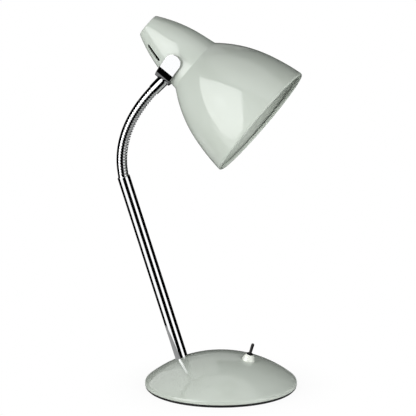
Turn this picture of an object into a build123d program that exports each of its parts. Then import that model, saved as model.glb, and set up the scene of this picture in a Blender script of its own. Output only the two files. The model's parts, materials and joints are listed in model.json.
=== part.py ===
from build123d import *
import os
from math import asin, cos, degrees, radians, sin, sqrt, tan

# Gooseneck desk lamp, in millimetres and degrees.
# +Z is up, +X is the side that the shade reaches towards, and the lamp's plane of symmetry is XZ.
# The origin is the centre of the base's underside, on the surface that the lamp stands on.

# ---------------------------------------------------------------- base
BASE_RADIUS = 76.0          # outside of the dome at its rim
BASE_APEX = 34.0            # top of the dome above the ground
BASE_LIP = 1.5              # upright edge of the dome above the rim
BASE_SHOULDER = 4.0         # radius between the lip and the dome
BASE_WALL = 1.2
PAD_THICKNESS = 1.0
PAD_SETBACK = 1.5           # pad's edge inside the dome's rim
PLATE_THICKNESS = 2.0
PLATE_SETBACK = 0.5         # plate's edge inside the dome's rim

WEIGHT_THICKNESS = 9.5
WEIGHT_GAP = 1.5            # between the cast iron and the steel dome
STUD_COUNT = 3
STUD_CIRCLE = 50.0          # radius on which the studs and the plate screws stand
STUD_RADIUS = 2.0
STUD_CLEARANCE = 0.4
STUD_PROUD = 0.5            # past its nut
STUD_FIRST_ANGLE = 90.0
STUD_NUT_FLATS = 7.0
STUD_NUT_THICKNESS = 3.2
STUD_POCKET_CLEARANCE = 1.5
SCREW_RADIUS = 1.75
SCREW_LENGTH = 8.0
SCREW_HEAD_RADIUS = 3.4
SCREW_HEAD_HEIGHT = 1.6
SCREW_FIRST_ANGLE = 30.0

CORD_ANGLE = 122.0          # where the mains cord enters, seen from above, from +X towards +Y
CORD_HEIGHT = 8.0           # of its centre above the ground
CORD_RADIUS = 3.1
GROMMET_WALL = 1.9
GROMMET_LIP = 1.4           # thickness of the lips, and how far they reach past the hole
GROMMET_SLEEVE_WALL = 1.6
GROMMET_SLEEVE_LENGTH = 15.0
CORD_CHANNEL_CLEARANCE = 1.0
CORD_CHANNEL_REACH = 34.0   # from the rim inwards

# ---------------------------------------------------------------- stem
STEM_FOOT_X = -41.6         # where the stem's axis meets the dome
STEM_LEAN = 18.6            # away from upright, towards -X
STEM_LENGTH = 192.6
STEM_RADIUS = 6.35
STEM_WALL = 1.35
NIPPLE_BORE = 3.5
NIPPLE_ENGAGEMENT = 12.0    # length inside the stem
NIPPLE_PROUD = 1.0          # below its nut
HOLE_CLEARANCE = 0.25       # round a threaded tube that passes the dome
SADDLE_RADIUS = 11.0
SADDLE_THICKNESS = 2.0
STEM_NUT_FLATS = 14.0
STEM_NUT_THICKNESS = 4.0
STEM_POCKET_RADIUS = 16.0
STEM_POCKET_DEPTH = 6.5
PLUG_ENGAGEMENT = 14.0      # length inside the stem's upper end
PLUG_NECK = 0.5             # between the stem's end and the first pivot

# ---------------------------------------------------------------- gooseneck
LINK_COUNT = 8
LINK_LENGTH = 12.45         # from pivot to pivot
NECK_RADIUS = 5.35
NECK_BORE = 3.5
NECK_CUP_GAP = 0.4          # between a link's ball end and the next link's cup
RIB_PITCH = 2.6
RIB_DEPTH = 0.45
FIRST_BEND = 10.4           # between the stem and the first link
BEND_STEP = -0.9            # each pivot bends this much more than the one before
LEAD_RADIUS = 2.0
LEAD_CUP_GAP = 0.2

FERRULE_LENGTH = 19.85      # from the last pivot to the yoke
FERRULE_FOOT_RADIUS = 5.8
FERRULE_HEAD_RADIUS = 6.4
FERRULE_SPIGOT_RADIUS = 4.0

# ---------------------------------------------------------------- yoke and pivots
YOKE_KINK = 6.6             # between the ferrule's axis and the yoke's
YOKE_REACH = 31.6           # from the pivot to the strap's outer face, sideways and down
YOKE_THICKNESS = 1.2
YOKE_HALF_WIDTH = 8.6
YOKE_LEG = 4.0              # straight stretch of each leg below the pivot
PIVOT_RADIUS = 2.0
PIVOT_CLEARANCE = 0.05
SPACER_RADIUS = 5.0
SPACER_GAP = 0.05           # running gap between the spacers and the yoke
PIVOT_WASHER_INSET = 7.0    # from the yoke's inner face to the spring washers
PIVOT_WASHER_RADIUS = 4.5
PIVOT_WASHER_THICKNESS = 0.8
PIVOT_NUT_FLATS = 7.0
PIVOT_NUT_THICKNESS = 3.2
PIVOT_STUD_PROUD = 1.0      # past its nut

# ---------------------------------------------------------------- shade
# Stations run along the shade's axis from near the back end of its neck, and radii are measured from it.
SHADE_NOD = 0.8             # how far its axis points below the square position in the yoke
SHADE_WALL = 1.2
SHADE_BACK = -3.8           # station of the neck's flat end
SHADE_BACK_CORNER = 2.2
PIVOT_STATION = 42.5
CREASE_STATION = 59.0
CREASE_RADIUS = 30.1        # from the axis to the crease between neck and bell
CREASE_FILLET = 1.5
NECK_SLOPE = 8.5            # of the straight stretch behind the crease
NECK_STRAIGHT = 15.0
NECK_CURVE_RADIUS = 150.0
BELL_START_SLOPE = 40.0
BELL_JOIN_SLOPE = 15.5
BELL_SHOULDER_RADIUS = 130.0
BELL_SKIRT_RADIUS = 230.0
RIM_STATION = 146.0
RIM_ROUND = 2.0
HEM_WIDTH = 3.0
HEM_LIP = 2.8               # depth of the hem's inner edge, turned back into the shade

VENT_LENGTH = 20.8
VENT_WIDTH = 4.0
VENT_STATION = 20.0
VENT_ANGLE = 62.0           # each side of the lowest line of the neck

LEAD_HOLE_STATION = 38.0
BUSH_WALL = 1.2             # round the lead, in the neck's hole
BUSH_LIP = 0.6

# ---------------------------------------------------------------- lampholder and bulb
BRACKET_WIDTH = 12.0
BRACKET_THICKNESS = 1.2
BRACKET_GAP = 0.4           # between the bracket and the neck's wall
BRACKET_BACK = 6.0          # station of its cross bar
BRACKET_FRONT = 48.0
ENTRY_RADIUS = 5.0          # threaded entry of the lampholder
ENTRY_BORE = 3.5
ENTRY_ENGAGEMENT = 7.0      # length inside the lampholder
ENTRY_NUT_FLATS = 13.0
ENTRY_NUT_THICKNESS = 2.5
ENTRY_PROUD = 0.8           # behind its nut
HOLDER_RADIUS = 17.0
HOLDER_WALL = 2.4
HOLDER_CAP_BACK_RADIUS = 12.0
HOLDER_CAP_LENGTH = 15.0
HOLDER_SHELL_LENGTH = 30.0
HOLDER_FLOOR = 4.8          # thickness of the insulating disc
HOLDER_CONTACT_HEIGHT = 2.0
THREAD_LENGTH = 22.0
THREAD_WALL = 0.5
THREAD_CLEARANCE = 0.25
BULB_CAP_RADIUS = 13.15     # E27
BULB_CAP_LENGTH = 24.0
BULB_CAP_WALL = 0.4
BULB_CAP_TAPER = 5.0        # height of the tapered end
CONTACT_RADIUS = 4.0
BULB_CONTACT_HEIGHT = 2.6
GLOBE_RADIUS = 30.0
GLOBE_NECK_RADIUS = 12.7
GLOBE_LENGTH = 80.0         # from the cap's rim to the end of the glass
GLOBE_ROOT = 4.0            # length inside the cap
GLOBE_NECK_LENGTH = 3.0     # straight stretch past the cap's rim
GLOBE_WALL = 1.0

# ---------------------------------------------------------------- switch
SWITCH_X = 28.8             # where its axis meets the dome
DRESS_NUT_BASE_RADIUS = 6.4
DRESS_NUT_TOP_RADIUS = 3.6
DRESS_NUT_HEIGHT = 6.5
DRESS_NUT_FOOT = 0.8        # plain band under the knurling
DRESS_NUT_TEETH = 18
DRESS_NUT_TOOTH_DEPTH = 0.45
BUSHING_RADIUS = 3.0
BUSHING_BORE = 2.2
COLLAR_RADIUS = 3.3
COLLAR_HEIGHT = 1.0
LOCK_NUT_FLATS = 8.0
LOCK_NUT_THICKNESS = 2.0
LOCK_NUT_GAP = 0.1          # under the curved dome
SWITCH_BODY_LENGTH = 13.0   # along the lever's swing
SWITCH_BODY_WIDTH = 8.0
SWITCH_BODY_DEPTH = 9.5
TERMINAL_COUNT = 3
TERMINAL_PITCH = 4.7
TERMINAL_LENGTH = 4.0
TERMINAL_WIDTH = 2.0
TERMINAL_THICKNESS = 0.8
LEVER_LENGTH = 10.4         # past the collar
LEVER_ROOT_RADIUS = 1.4
LEVER_TIP_RADIUS = 1.6
LEVER_TILT = 12.0           # from the switch's axis, towards +Y at rest
LEVER_PIVOT_HEIGHT = 5.0    # above the dome
LEVER_BALL_GAP = 0.1
LEVER_TAIL_LENGTH = 4.0
LEVER_TAIL_RADIUS = 0.9
LEVER_CLEARANCE = 0.35

# ---------------------------------------------------------------- the lead under the dome
BASE_LEAD_DROP = 11.0       # straight below the stem before the first corner
BASE_LEAD_CORNER_X = -22.0   # where it turns up towards the switch
BASE_LEAD_CORNER_Z = 16.5
BASE_LEAD_RUN_IN = 12.0     # straight before the switch's terminal
BASE_LEAD_END_HEIGHT = 1.5  # above the terminal's end
CORNER_SHARE = 0.45         # of the shorter run that a corner's arc takes

OVERCUT = 1.0               # how far a cutter reaches past what it cuts
FAR = 400.0


# ================================================================ shared geometry
def unit(angle):
    """Unit vector in a drawing plane, at an angle from its first axis."""
    return Vector(cos(radians(angle)), sin(radians(angle)))


def ray(angle):
    """Unit vector in the lamp's plane, at an angle above +X."""
    return Vector(cos(radians(angle)), 0, sin(radians(angle)))


def arc_about(centre, radius, start, end):
    """Arc about a centre, the short way between the sides that two unit vectors point to."""
    middle = (start + end).normalized()
    return ThreePointArc(centre + start * radius, centre + middle * radius, centre + end * radius)


def turned(edges):
    """Solid of revolution about local Z from edges drawn as (radius, height)."""
    return revolve(Plane.XZ * make_face(edges), Axis.Z, 360)


def turned_points(*corners):
    """Solid of revolution from the corners of its half section, as (radius, height)."""
    return turned(Polyline(*corners, close=True))


def rod(radius, low, high):
    """Cylinder on the local Z axis between two heights."""
    return Pos(0, 0, (low + high) / 2) * Cylinder(radius, high - low)


def tube(radius, bore, low, high):
    """Hollow cylinder on the local Z axis between two heights."""
    return rod(radius, low, high) - rod(bore, low - OVERCUT, high + OVERCUT)


def hex_nut(flats, bore, low, high):
    """Hexagon nut on the local Z axis between two heights."""
    blank = extrude(Pos(0, 0, low) * RegularPolygon(flats / 2, 6, major_radius=False), high - low)
    return blank - rod(bore, low - OVERCUT, high + OVERCUT)


def group(shapes):
    """Several separate solids as one part."""
    return Compound(children=[solid for shape in shapes for solid in shape.solids()])


def frame_at(point, axis):
    """Location whose Z is an axis in the lamp's plane and whose Y is the lamp's Y."""
    return Plane(origin=point, x_dir=Vector(axis.Z, 0, -axis.X), z_dir=axis).location


def spot(frame, x, y, z):
    """Point of the lamp at a frame's local coordinates."""
    return (frame * Pos(x, y, z)).position


def around(count, first, radius):
    """Locations spaced evenly on a circle about the lamp's origin."""
    return [Rot(0, 0, first + i * 360 / count) * Pos(radius, 0, 0) for i in range(count)]


def bent_lead(points):
    """Round lead along straight runs with a tangent arc at each corner, and its arc radii."""
    radii = []
    for before, corner, after in zip(points, points[1:], points[2:]):
        turn = radians((corner - before).get_angle(after - corner))
        run = min((corner - before).length, (after - corner).length)
        radii.append(CORNER_SHARE * run / tan(turn / 2))
    path = FilletPolyline(*points, radius=radii)
    section = Plane(origin=path @ 0, z_dir=path % 0) * Circle(LEAD_RADIUS)
    return sweep(section, path), radii


# ================================================================ frames of the base
RIM_Z = PAD_THICKNESS + PLATE_THICKNESS
SHOULDER_CENTRE = Vector(BASE_RADIUS - BASE_SHOULDER, RIM_Z + BASE_LIP)
SHOULDER_RISE = BASE_APEX - SHOULDER_CENTRE.Y
SHOULDER_SPAN = SHOULDER_CENTRE.X**2 + SHOULDER_RISE**2 - BASE_SHOULDER**2
DOME_RADIUS = SHOULDER_SPAN / (2 * (SHOULDER_RISE - BASE_SHOULDER))
DOME_CENTRE = Vector(0, BASE_APEX - DOME_RADIUS)


def dome_solid(inset):
    """The dome filled in down to its rim, with its skin moved inwards by the inset."""
    meeting = (SHOULDER_CENTRE - DOME_CENTRE).normalized()
    edge = BASE_RADIUS - inset
    return turned([
        Line((0, RIM_Z), (edge, RIM_Z)),
        Line((edge, RIM_Z), (edge, SHOULDER_CENTRE.Y)),
        arc_about(SHOULDER_CENTRE, BASE_SHOULDER - inset, Vector(1, 0), meeting),
        arc_about(DOME_CENTRE, DOME_RADIUS - inset, meeting, Vector(0, 1)),
        Line((0, BASE_APEX - inset), (0, RIM_Z)),
    ])


def dome_point(x):
    """Point of the dome's outer skin in the lamp's plane."""
    return Vector(x, 0, DOME_CENTRE.Y + sqrt(DOME_RADIUS**2 - x**2))


WEIGHT_TOP = RIM_Z + WEIGHT_THICKNESS
STUD_NUT_TOP = RIM_Z + STUD_PROUD + STUD_NUT_THICKNESS
STUD_SPOTS = around(STUD_COUNT, STUD_FIRST_ANGLE, STUD_CIRCLE)
SCREW_SPOTS = around(STUD_COUNT, SCREW_FIRST_ANGLE, STUD_CIRCLE)
CORD_INLET = Rot(0, 0, CORD_ANGLE) * Pos(0, 0, CORD_HEIGHT) * Rot(0, 90, 0)

STEM = frame_at(dome_point(STEM_FOOT_X), ray(90 + STEM_LEAN))
STEM_BORE = STEM_RADIUS - STEM_WALL
SADDLE_FACE = -BASE_WALL - SADDLE_THICKNESS
STEM_NUT_END = SADDLE_FACE - STEM_NUT_THICKNESS
NIPPLE_END = STEM_NUT_END - NIPPLE_PROUD

SWITCH = frame_at(dome_point(SWITCH_X), ray(90 - degrees(asin(SWITCH_X / DOME_RADIUS))))
LOCK_NUT_TOP = -BASE_WALL - LOCK_NUT_GAP
SWITCH_BODY_TOP = LOCK_NUT_TOP - LOCK_NUT_THICKNESS
SWITCH_BODY_END = SWITCH_BODY_TOP - SWITCH_BODY_DEPTH
TERMINAL_END = SWITCH_BODY_END - TERMINAL_LENGTH
COLLAR_TOP = DRESS_NUT_HEIGHT + COLLAR_HEIGHT
LEVER = SWITCH * Pos(0, 0, LEVER_PIVOT_HEIGHT) * Rot(-LEVER_TILT, 0, 0)

# ================================================================ frames of the gooseneck and the head
BALL_RADIUS = NECK_RADIUS - RIB_DEPTH
CUP_RADIUS = BALL_RADIUS + NECK_CUP_GAP
CUP_EDGE = sqrt(CUP_RADIUS**2 - BALL_RADIUS**2)


def neck_frames():
    """Frame of each gooseneck pivot, with Z along the link above it: the last is the ferrule's."""
    point = spot(STEM, 0, 0, STEM_LENGTH + PLUG_NECK)
    heading = 90 + STEM_LEAN
    frames = []
    for i in range(LINK_COUNT + 1):
        heading -= FIRST_BEND + i * BEND_STEP
        frames.append(frame_at(point, ray(heading)))
        point = point + ray(heading) * LINK_LENGTH
    return frames, heading


NECK, FERRULE_HEADING = neck_frames()
FERRULE = NECK[-1]
YOKE_HEADING = FERRULE_HEADING + YOKE_KINK
PIVOT_POINT = spot(FERRULE, 0, 0, FERRULE_LENGTH) + ray(YOKE_HEADING) * YOKE_REACH
YOKE = frame_at(PIVOT_POINT, ray(YOKE_HEADING))
YOKE_INSIDE = YOKE_REACH - YOKE_THICKNESS
PIVOT_SIDES = [YOKE * Rot(-90, 0, 0), YOKE * Rot(90, 0, 0)]
WASHER_FACE = YOKE_INSIDE - PIVOT_WASHER_INSET
PIVOT_NUT_FACE = WASHER_FACE - PIVOT_WASHER_THICKNESS
PIVOT_NUT_END = PIVOT_NUT_FACE - PIVOT_NUT_THICKNESS
SHADE_HEADING = YOKE_HEADING - 90 - SHADE_NOD
SHADE = frame_at(PIVOT_POINT - ray(SHADE_HEADING) * PIVOT_STATION, ray(SHADE_HEADING))

# Stations of the lampholder and the bulb, from the bracket's cross bar forwards.
HOLDER_BACK = BRACKET_BACK + BRACKET_THICKNESS
SHELL_BACK = HOLDER_BACK + HOLDER_CAP_LENGTH
THREAD_BACK = SHELL_BACK + HOLDER_FLOOR
THREAD_BORE = BULB_CAP_RADIUS + THREAD_CLEARANCE
CONTACT_FACE = THREAD_BACK + HOLDER_CONTACT_HEIGHT
BULB_CAP_BACK = CONTACT_FACE + BULB_CONTACT_HEIGHT
BULB_CAP_RIM = BULB_CAP_BACK + BULB_CAP_LENGTH


# The shade's outline, drawn as (radius, station): centres of its arcs and the directions to their ends.
CREASE = Vector(CREASE_RADIUS, CREASE_STATION)
NECK_ALONG = Vector(sin(radians(NECK_SLOPE)), cos(radians(NECK_SLOPE)))
NECK_SIDE = Vector(NECK_ALONG.Y, -NECK_ALONG.X)
STRAIGHT_START = CREASE - NECK_ALONG * NECK_STRAIGHT
NECK_CENTRE = STRAIGHT_START - NECK_SIDE * NECK_CURVE_RADIUS
BELL_START_SIDE = unit(-BELL_START_SLOPE)
BELL_JOIN_SIDE = unit(-BELL_JOIN_SLOPE)
SHOULDER = CREASE - BELL_START_SIDE * BELL_SHOULDER_RADIUS
SKIRT = SHOULDER + BELL_JOIN_SIDE * (BELL_SHOULDER_RADIUS - BELL_SKIRT_RADIUS)


def crease_round():
    """Centre of the arc outside the crease that touches both the neck's straight and the bell."""
    to_shoulder = SHOULDER - CREASE
    height = CREASE_FILLET - to_shoulder.dot(NECK_SIDE)
    reach = sqrt((BELL_SHOULDER_RADIUS + CREASE_FILLET)**2 - height**2)
    return CREASE + NECK_SIDE * CREASE_FILLET + NECK_ALONG * (to_shoulder.dot(NECK_ALONG) - reach)


def corner_round(centre, radius, fillet_radius, station):
    """Centre of a fillet at a station, inside an arc of the outline."""
    height = station - centre.Y
    return Vector(centre.X + sqrt((radius - fillet_radius)**2 - height**2), station)


CREASE_ROUND = crease_round()
BELL_SIDE = (CREASE_ROUND - SHOULDER).normalized()
BACK_ROUND = corner_round(NECK_CENTRE, NECK_CURVE_RADIUS, SHADE_BACK_CORNER, SHADE_BACK + SHADE_BACK_CORNER)
BACK_SIDE = (BACK_ROUND - NECK_CENTRE).normalized()
RIM_CENTRE = corner_round(SKIRT, BELL_SKIRT_RADIUS, RIM_ROUND, RIM_STATION - RIM_ROUND)
RIM_SIDE = (RIM_CENTRE - SKIRT).normalized()
HEM_RADIUS = RIM_CENTRE.X + RIM_ROUND - HEM_WIDTH


def shade_solid(inset):
    """The shade filled in, with its skin moved inwards by the inset."""
    back = SHADE_BACK + inset
    front = RIM_STATION - inset
    return SHADE * turned([
        Line((0, back), (BACK_ROUND.X, back)),
        arc_about(BACK_ROUND, SHADE_BACK_CORNER - inset, Vector(0, -1), BACK_SIDE),
        arc_about(NECK_CENTRE, NECK_CURVE_RADIUS - inset, BACK_SIDE, NECK_SIDE),
        Line(STRAIGHT_START - NECK_SIDE * inset, CREASE_ROUND - NECK_SIDE * (CREASE_FILLET + inset)),
        arc_about(CREASE_ROUND, CREASE_FILLET + inset, -NECK_SIDE, -BELL_SIDE),
        arc_about(SHOULDER, BELL_SHOULDER_RADIUS - inset, BELL_SIDE, BELL_JOIN_SIDE),
        arc_about(SKIRT, BELL_SKIRT_RADIUS - inset, BELL_JOIN_SIDE, RIM_SIDE),
        arc_about(RIM_CENTRE, RIM_ROUND - inset, RIM_SIDE, Vector(0, 1)),
        Line((RIM_CENTRE.X, front), (0, front)),
        Line((0, front), (0, back)),
    ])


def neck_core(inset):
    """The space inside the shade's neck as far as the crease, with its skin moved inwards by the inset."""
    corner = corner_round(NECK_CENTRE, NECK_CURVE_RADIUS, inset, SHADE_BACK)
    crease = CREASE - NECK_SIDE * inset
    return SHADE * turned([
        Line((0, SHADE_BACK), corner),
        arc_about(NECK_CENTRE, NECK_CURVE_RADIUS - inset, (corner - NECK_CENTRE).normalized(), NECK_SIDE),
        Line(STRAIGHT_START - NECK_SIDE * inset, crease),
        Line(crease, (0, crease.Y)),
        Line((0, crease.Y), (0, SHADE_BACK)),
    ])


def globe_solid(inset):
    """The bulb's glass filled in, with its skin moved inwards by the inset."""
    neck = BULB_CAP_RIM + GLOBE_NECK_LENGTH
    centre = BULB_CAP_RIM + GLOBE_LENGTH - GLOBE_RADIUS
    rise = centre - neck
    flare = (GLOBE_NECK_RADIUS**2 + rise**2 - GLOBE_RADIUS**2) / (2 * (GLOBE_RADIUS - GLOBE_NECK_RADIUS))
    flare_centre = Vector(GLOBE_NECK_RADIUS + flare, neck)
    sphere_centre = Vector(0, centre)
    meeting = (flare_centre - sphere_centre).normalized()
    root = BULB_CAP_RIM - GLOBE_ROOT
    side = GLOBE_NECK_RADIUS - inset
    return SHADE * turned([
        Line((0, root), (side, root)),
        Line((side, root), (side, neck)),
        arc_about(flare_centre, flare + inset, Vector(-1, 0), -meeting),
        arc_about(sphere_centre, GLOBE_RADIUS - inset, meeting, Vector(0, 1)),
        Line((0, centre + GLOBE_RADIUS - inset), (0, root)),
    ])


def yoke_solid(inset):
    """Everything inside the yoke's strap, with the strap's skin moved inwards by the inset."""
    side = YOKE_REACH - inset
    corner = YOKE_REACH - YOKE_LEG - inset
    strap = Box(2 * YOKE_HALF_WIDTH, 2 * side, side, align=(Align.CENTER, Align.CENTER, Align.MAX))
    strap = fillet(strap.edges().filter_by(Axis.X).group_by(Axis.Z)[0], corner)
    ear = Rot(90, 0, 0) * Cylinder(YOKE_HALF_WIDTH, 2 * side)
    top = Box(2 * YOKE_HALF_WIDTH, 2 * side, YOKE_HALF_WIDTH, align=(Align.CENTER, Align.CENTER, Align.MIN))
    return YOKE * (strap + (ear & top))


def pivot_pieces(piece):
    """The same piece at both pivots, with local Z pointing outwards along the pivots' axis."""
    return group([side * piece for side in PIVOT_SIDES])


# ================================================================ base
def cord_hole(margin):
    """Arched opening of the cord inlet, down to the rim, wider than the cord's bore by a margin."""
    radius = CORD_RADIUS + margin
    drop = CORD_HEIGHT - RIM_Z
    arch = rod(radius, BASE_RADIUS / 2, BASE_RADIUS + 2 * GROMMET_LIP)
    slot = Box(drop, 2 * radius, BASE_RADIUS, align=(Align.MIN, Align.CENTER, Align.CENTER))
    return CORD_INLET * (arch + Pos(0, 0, BASE_RADIUS) * slot)


def base_shell():
    shell = dome_solid(0) - dome_solid(BASE_WALL)
    shell -= STEM * rod(STEM_BORE + HOLE_CLEARANCE, -SADDLE_RADIUS, SADDLE_RADIUS)
    shell -= SWITCH * rod(BUSHING_RADIUS + HOLE_CLEARANCE, -SADDLE_RADIUS, SADDLE_RADIUS)
    return shell - cord_hole(GROMMET_WALL)


def shell_studs():
    inside = dome_solid(BASE_WALL)
    return group([spot_at * rod(STUD_RADIUS, RIM_Z, BASE_APEX) & inside for spot_at in STUD_SPOTS])


def stud_nuts():
    nut = hex_nut(STUD_NUT_FLATS, STUD_RADIUS, STUD_NUT_TOP - STUD_NUT_THICKNESS, STUD_NUT_TOP)
    return group([spot_at * nut for spot_at in STUD_SPOTS])


def base_weight():
    weight = dome_solid(BASE_WALL + WEIGHT_GAP) & rod(BASE_RADIUS, RIM_Z, WEIGHT_TOP)
    pocket_radius = STUD_NUT_FLATS / sqrt(3) + STUD_POCKET_CLEARANCE
    for spot_at in STUD_SPOTS:
        weight -= spot_at * rod(STUD_RADIUS + STUD_CLEARANCE, 0, BASE_APEX)
        weight -= spot_at * rod(pocket_radius, 0, STUD_NUT_TOP)
    for spot_at in SCREW_SPOTS:
        weight -= spot_at * rod(SCREW_RADIUS, 0, PAD_THICKNESS + SCREW_LENGTH)
    nipple_end = spot(STEM, 0, 0, NIPPLE_END)
    pocket = rod(STEM_POCKET_RADIUS, WEIGHT_TOP - STEM_POCKET_DEPTH, BASE_APEX)
    weight -= Pos(nipple_end.X, nipple_end.Y, 0) * pocket
    width = 2 * (CORD_RADIUS + GROMMET_WALL + GROMMET_LIP + CORD_CHANNEL_CLEARANCE)
    channel = Pos(BASE_RADIUS, 0, 0) * Box(2 * CORD_CHANNEL_REACH, width, 2 * BASE_APEX)
    return weight - Rot(0, 0, CORD_ANGLE) * channel


def screw_shape():
    return turned_points(
        (0, PAD_THICKNESS),
        (SCREW_HEAD_RADIUS, PAD_THICKNESS),
        (SCREW_RADIUS, PAD_THICKNESS + SCREW_HEAD_HEIGHT),
        (SCREW_RADIUS, PAD_THICKNESS + SCREW_LENGTH),
        (0, PAD_THICKNESS + SCREW_LENGTH),
    )


def base_plate():
    plate = rod(BASE_RADIUS - PLATE_SETBACK, PAD_THICKNESS, RIM_Z)
    for spot_at in SCREW_SPOTS:
        plate -= spot_at * screw_shape()
    return plate


def plate_screws():
    return group([spot_at * screw_shape() for spot_at in SCREW_SPOTS])


def foot_pad():
    return rod(BASE_RADIUS - PAD_SETBACK, 0, PAD_THICKNESS)


def cord_grommet():
    """Rubber bush that grips the dome's wall with two lips, and holds the cord in a straight sleeve."""
    inside = dome_solid(BASE_WALL)
    lips = dome_solid(-GROMMET_LIP) - dome_solid(0)
    lips += inside - dome_solid(BASE_WALL + GROMMET_LIP)
    grommet = lips & cord_hole(GROMMET_WALL + GROMMET_LIP)
    grommet += (dome_solid(0) - inside) & cord_hole(GROMMET_WALL)
    front = BASE_RADIUS + GROMMET_LIP
    grommet += CORD_INLET * rod(CORD_RADIUS + GROMMET_SLEEVE_WALL, front - GROMMET_SLEEVE_LENGTH, front)
    return grommet - CORD_INLET * rod(CORD_RADIUS, 0, 2 * BASE_RADIUS)


# ================================================================ stem
def stem_tube():
    return STEM * tube(STEM_RADIUS, STEM_BORE, -STEM_RADIUS, STEM_LENGTH) - dome_solid(0)


def stem_nipple():
    return STEM * tube(STEM_BORE, NIPPLE_BORE, NIPPLE_END, NIPPLE_ENGAGEMENT)


def stem_saddle():
    """Washer shaped to the dome above and flat for the nut below."""
    washer = STEM * tube(SADDLE_RADIUS, STEM_BORE, SADDLE_FACE, SADDLE_RADIUS)
    return washer & dome_solid(BASE_WALL)


def stem_nut():
    return STEM * hex_nut(STEM_NUT_FLATS, STEM_BORE, STEM_NUT_END, SADDLE_FACE)


def stem_top_plug():
    """Plug in the stem's upper end, with the ball that the first link turns on."""
    pivot = STEM_LENGTH + PLUG_NECK
    plug = rod(STEM_BORE, STEM_LENGTH - PLUG_ENGAGEMENT, STEM_LENGTH)
    plug += rod(BALL_RADIUS, STEM_LENGTH - PLUG_ENGAGEMENT, pivot)
    plug += Pos(0, 0, pivot) * Sphere(BALL_RADIUS)
    return STEM * (plug - rod(NECK_BORE, 0, pivot + NECK_RADIUS))


def stem_lead():
    pivot = STEM_LENGTH + PLUG_NECK
    return STEM * (rod(LEAD_RADIUS, NIPPLE_END, pivot) + Pos(0, 0, pivot) * Sphere(LEAD_RADIUS))


# ================================================================ gooseneck
def gooseneck_link():
    """Ribbed link with a cup round the pivot below it and a ball round the pivot above it."""
    below = Vector(0, 0)
    above = Vector(0, LINK_LENGTH)
    cup_mouth = Vector(BALL_RADIUS, CUP_EDGE)
    cup_floor = Vector(NECK_BORE, sqrt(CUP_RADIUS**2 - NECK_BORE**2))
    ball_rim = Vector(NECK_BORE, sqrt(BALL_RADIUS**2 - NECK_BORE**2))
    rib_count = round((LINK_LENGTH - CUP_EDGE) / RIB_PITCH)
    pitch = (LINK_LENGTH - CUP_EDGE) / rib_count
    edges = [arc_about(below, CUP_RADIUS, cup_floor.normalized(), cup_mouth.normalized())]
    for i in range(rib_count):
        start = CUP_EDGE + i * pitch
        crest = (NECK_RADIUS, start + pitch / 2)
        edges.append(ThreePointArc((BALL_RADIUS, start), crest, (BALL_RADIUS, start + pitch)))
    edges.append(arc_about(above, BALL_RADIUS, Vector(1, 0), ball_rim.normalized()))
    edges.append(Line(above + ball_rim, cup_floor))
    return turned(edges)


def lead_piece(length):
    """Length of lead from one pivot to the next, with a cup below and a ball above."""
    piece = rod(LEAD_RADIUS, 0, length) - Sphere(LEAD_RADIUS + LEAD_CUP_GAP)
    return piece + Pos(0, 0, length) * Sphere(LEAD_RADIUS)


def neck_ferrule():
    """Sleeve from the last pivot up to the yoke, with a spigot brazed into the yoke's hole."""
    cup_floor = Vector(NECK_BORE, sqrt(CUP_RADIUS**2 - NECK_BORE**2))
    cup_mouth = Vector(BALL_RADIUS, CUP_EDGE)
    far_end = FERRULE_LENGTH + YOKE_HALF_WIDTH
    sleeve = turned([
        arc_about(Vector(0, 0), CUP_RADIUS, cup_floor.normalized(), cup_mouth.normalized()),
        Line(cup_mouth, (FERRULE_FOOT_RADIUS, CUP_EDGE)),
        Line((FERRULE_FOOT_RADIUS, CUP_EDGE), (FERRULE_HEAD_RADIUS, FERRULE_LENGTH)),
        Line((FERRULE_HEAD_RADIUS, FERRULE_LENGTH), (FERRULE_HEAD_RADIUS, far_end)),
        Line((FERRULE_HEAD_RADIUS, far_end), (NECK_BORE, far_end)),
        Line((NECK_BORE, far_end), cup_floor),
    ])
    spigot = tube(FERRULE_SPIGOT_RADIUS, NECK_BORE, FERRULE_LENGTH / 2, far_end)
    return (FERRULE * sleeve - yoke_solid(0)) + (FERRULE * spigot - yoke_solid(YOKE_THICKNESS))


def ferrule_lead():
    lead = rod(LEAD_RADIUS, 0, FERRULE_LENGTH + YOKE_HALF_WIDTH) - Sphere(LEAD_RADIUS + LEAD_CUP_GAP)
    return FERRULE * lead - yoke_solid(YOKE_THICKNESS)


# ================================================================ yoke
def yoke():
    strap = yoke_solid(0) - yoke_solid(YOKE_THICKNESS)
    return strap - FERRULE * rod(FERRULE_SPIGOT_RADIUS, 0, FERRULE_LENGTH + YOKE_HALF_WIDTH)


def pivot_studs():
    return pivot_pieces(rod(PIVOT_RADIUS, PIVOT_NUT_END - PIVOT_STUD_PROUD, YOKE_INSIDE))


def pivot_washers():
    return pivot_pieces(tube(PIVOT_WASHER_RADIUS, PIVOT_RADIUS, PIVOT_NUT_FACE, WASHER_FACE))


def pivot_nuts():
    return pivot_pieces(hex_nut(PIVOT_NUT_FLATS, PIVOT_RADIUS, PIVOT_NUT_END, PIVOT_NUT_FACE))


# ================================================================ shade
def pivot_holes():
    return pivot_pieces(rod(PIVOT_RADIUS + PIVOT_CLEARANCE, SPACER_RADIUS, YOKE_REACH))


def vent_slots():
    slots = []
    for side in (VENT_ANGLE, -VENT_ANGLE):
        blank = Rot(0, 90, 0) * extrude(SlotOverall(VENT_LENGTH, VENT_WIDTH), YOKE_REACH)
        slots.append(SHADE * Rot(0, 0, side) * Pos(0, 0, VENT_STATION) * blank)
    return group(slots)


def lead_passage(radius):
    """Round hole through the lowest line of the neck, as far as the lampholder."""
    return SHADE * Pos(0, 0, LEAD_HOLE_STATION) * Rot(0, 90, 0) * rod(radius, HOLDER_RADIUS, YOKE_REACH)


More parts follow.
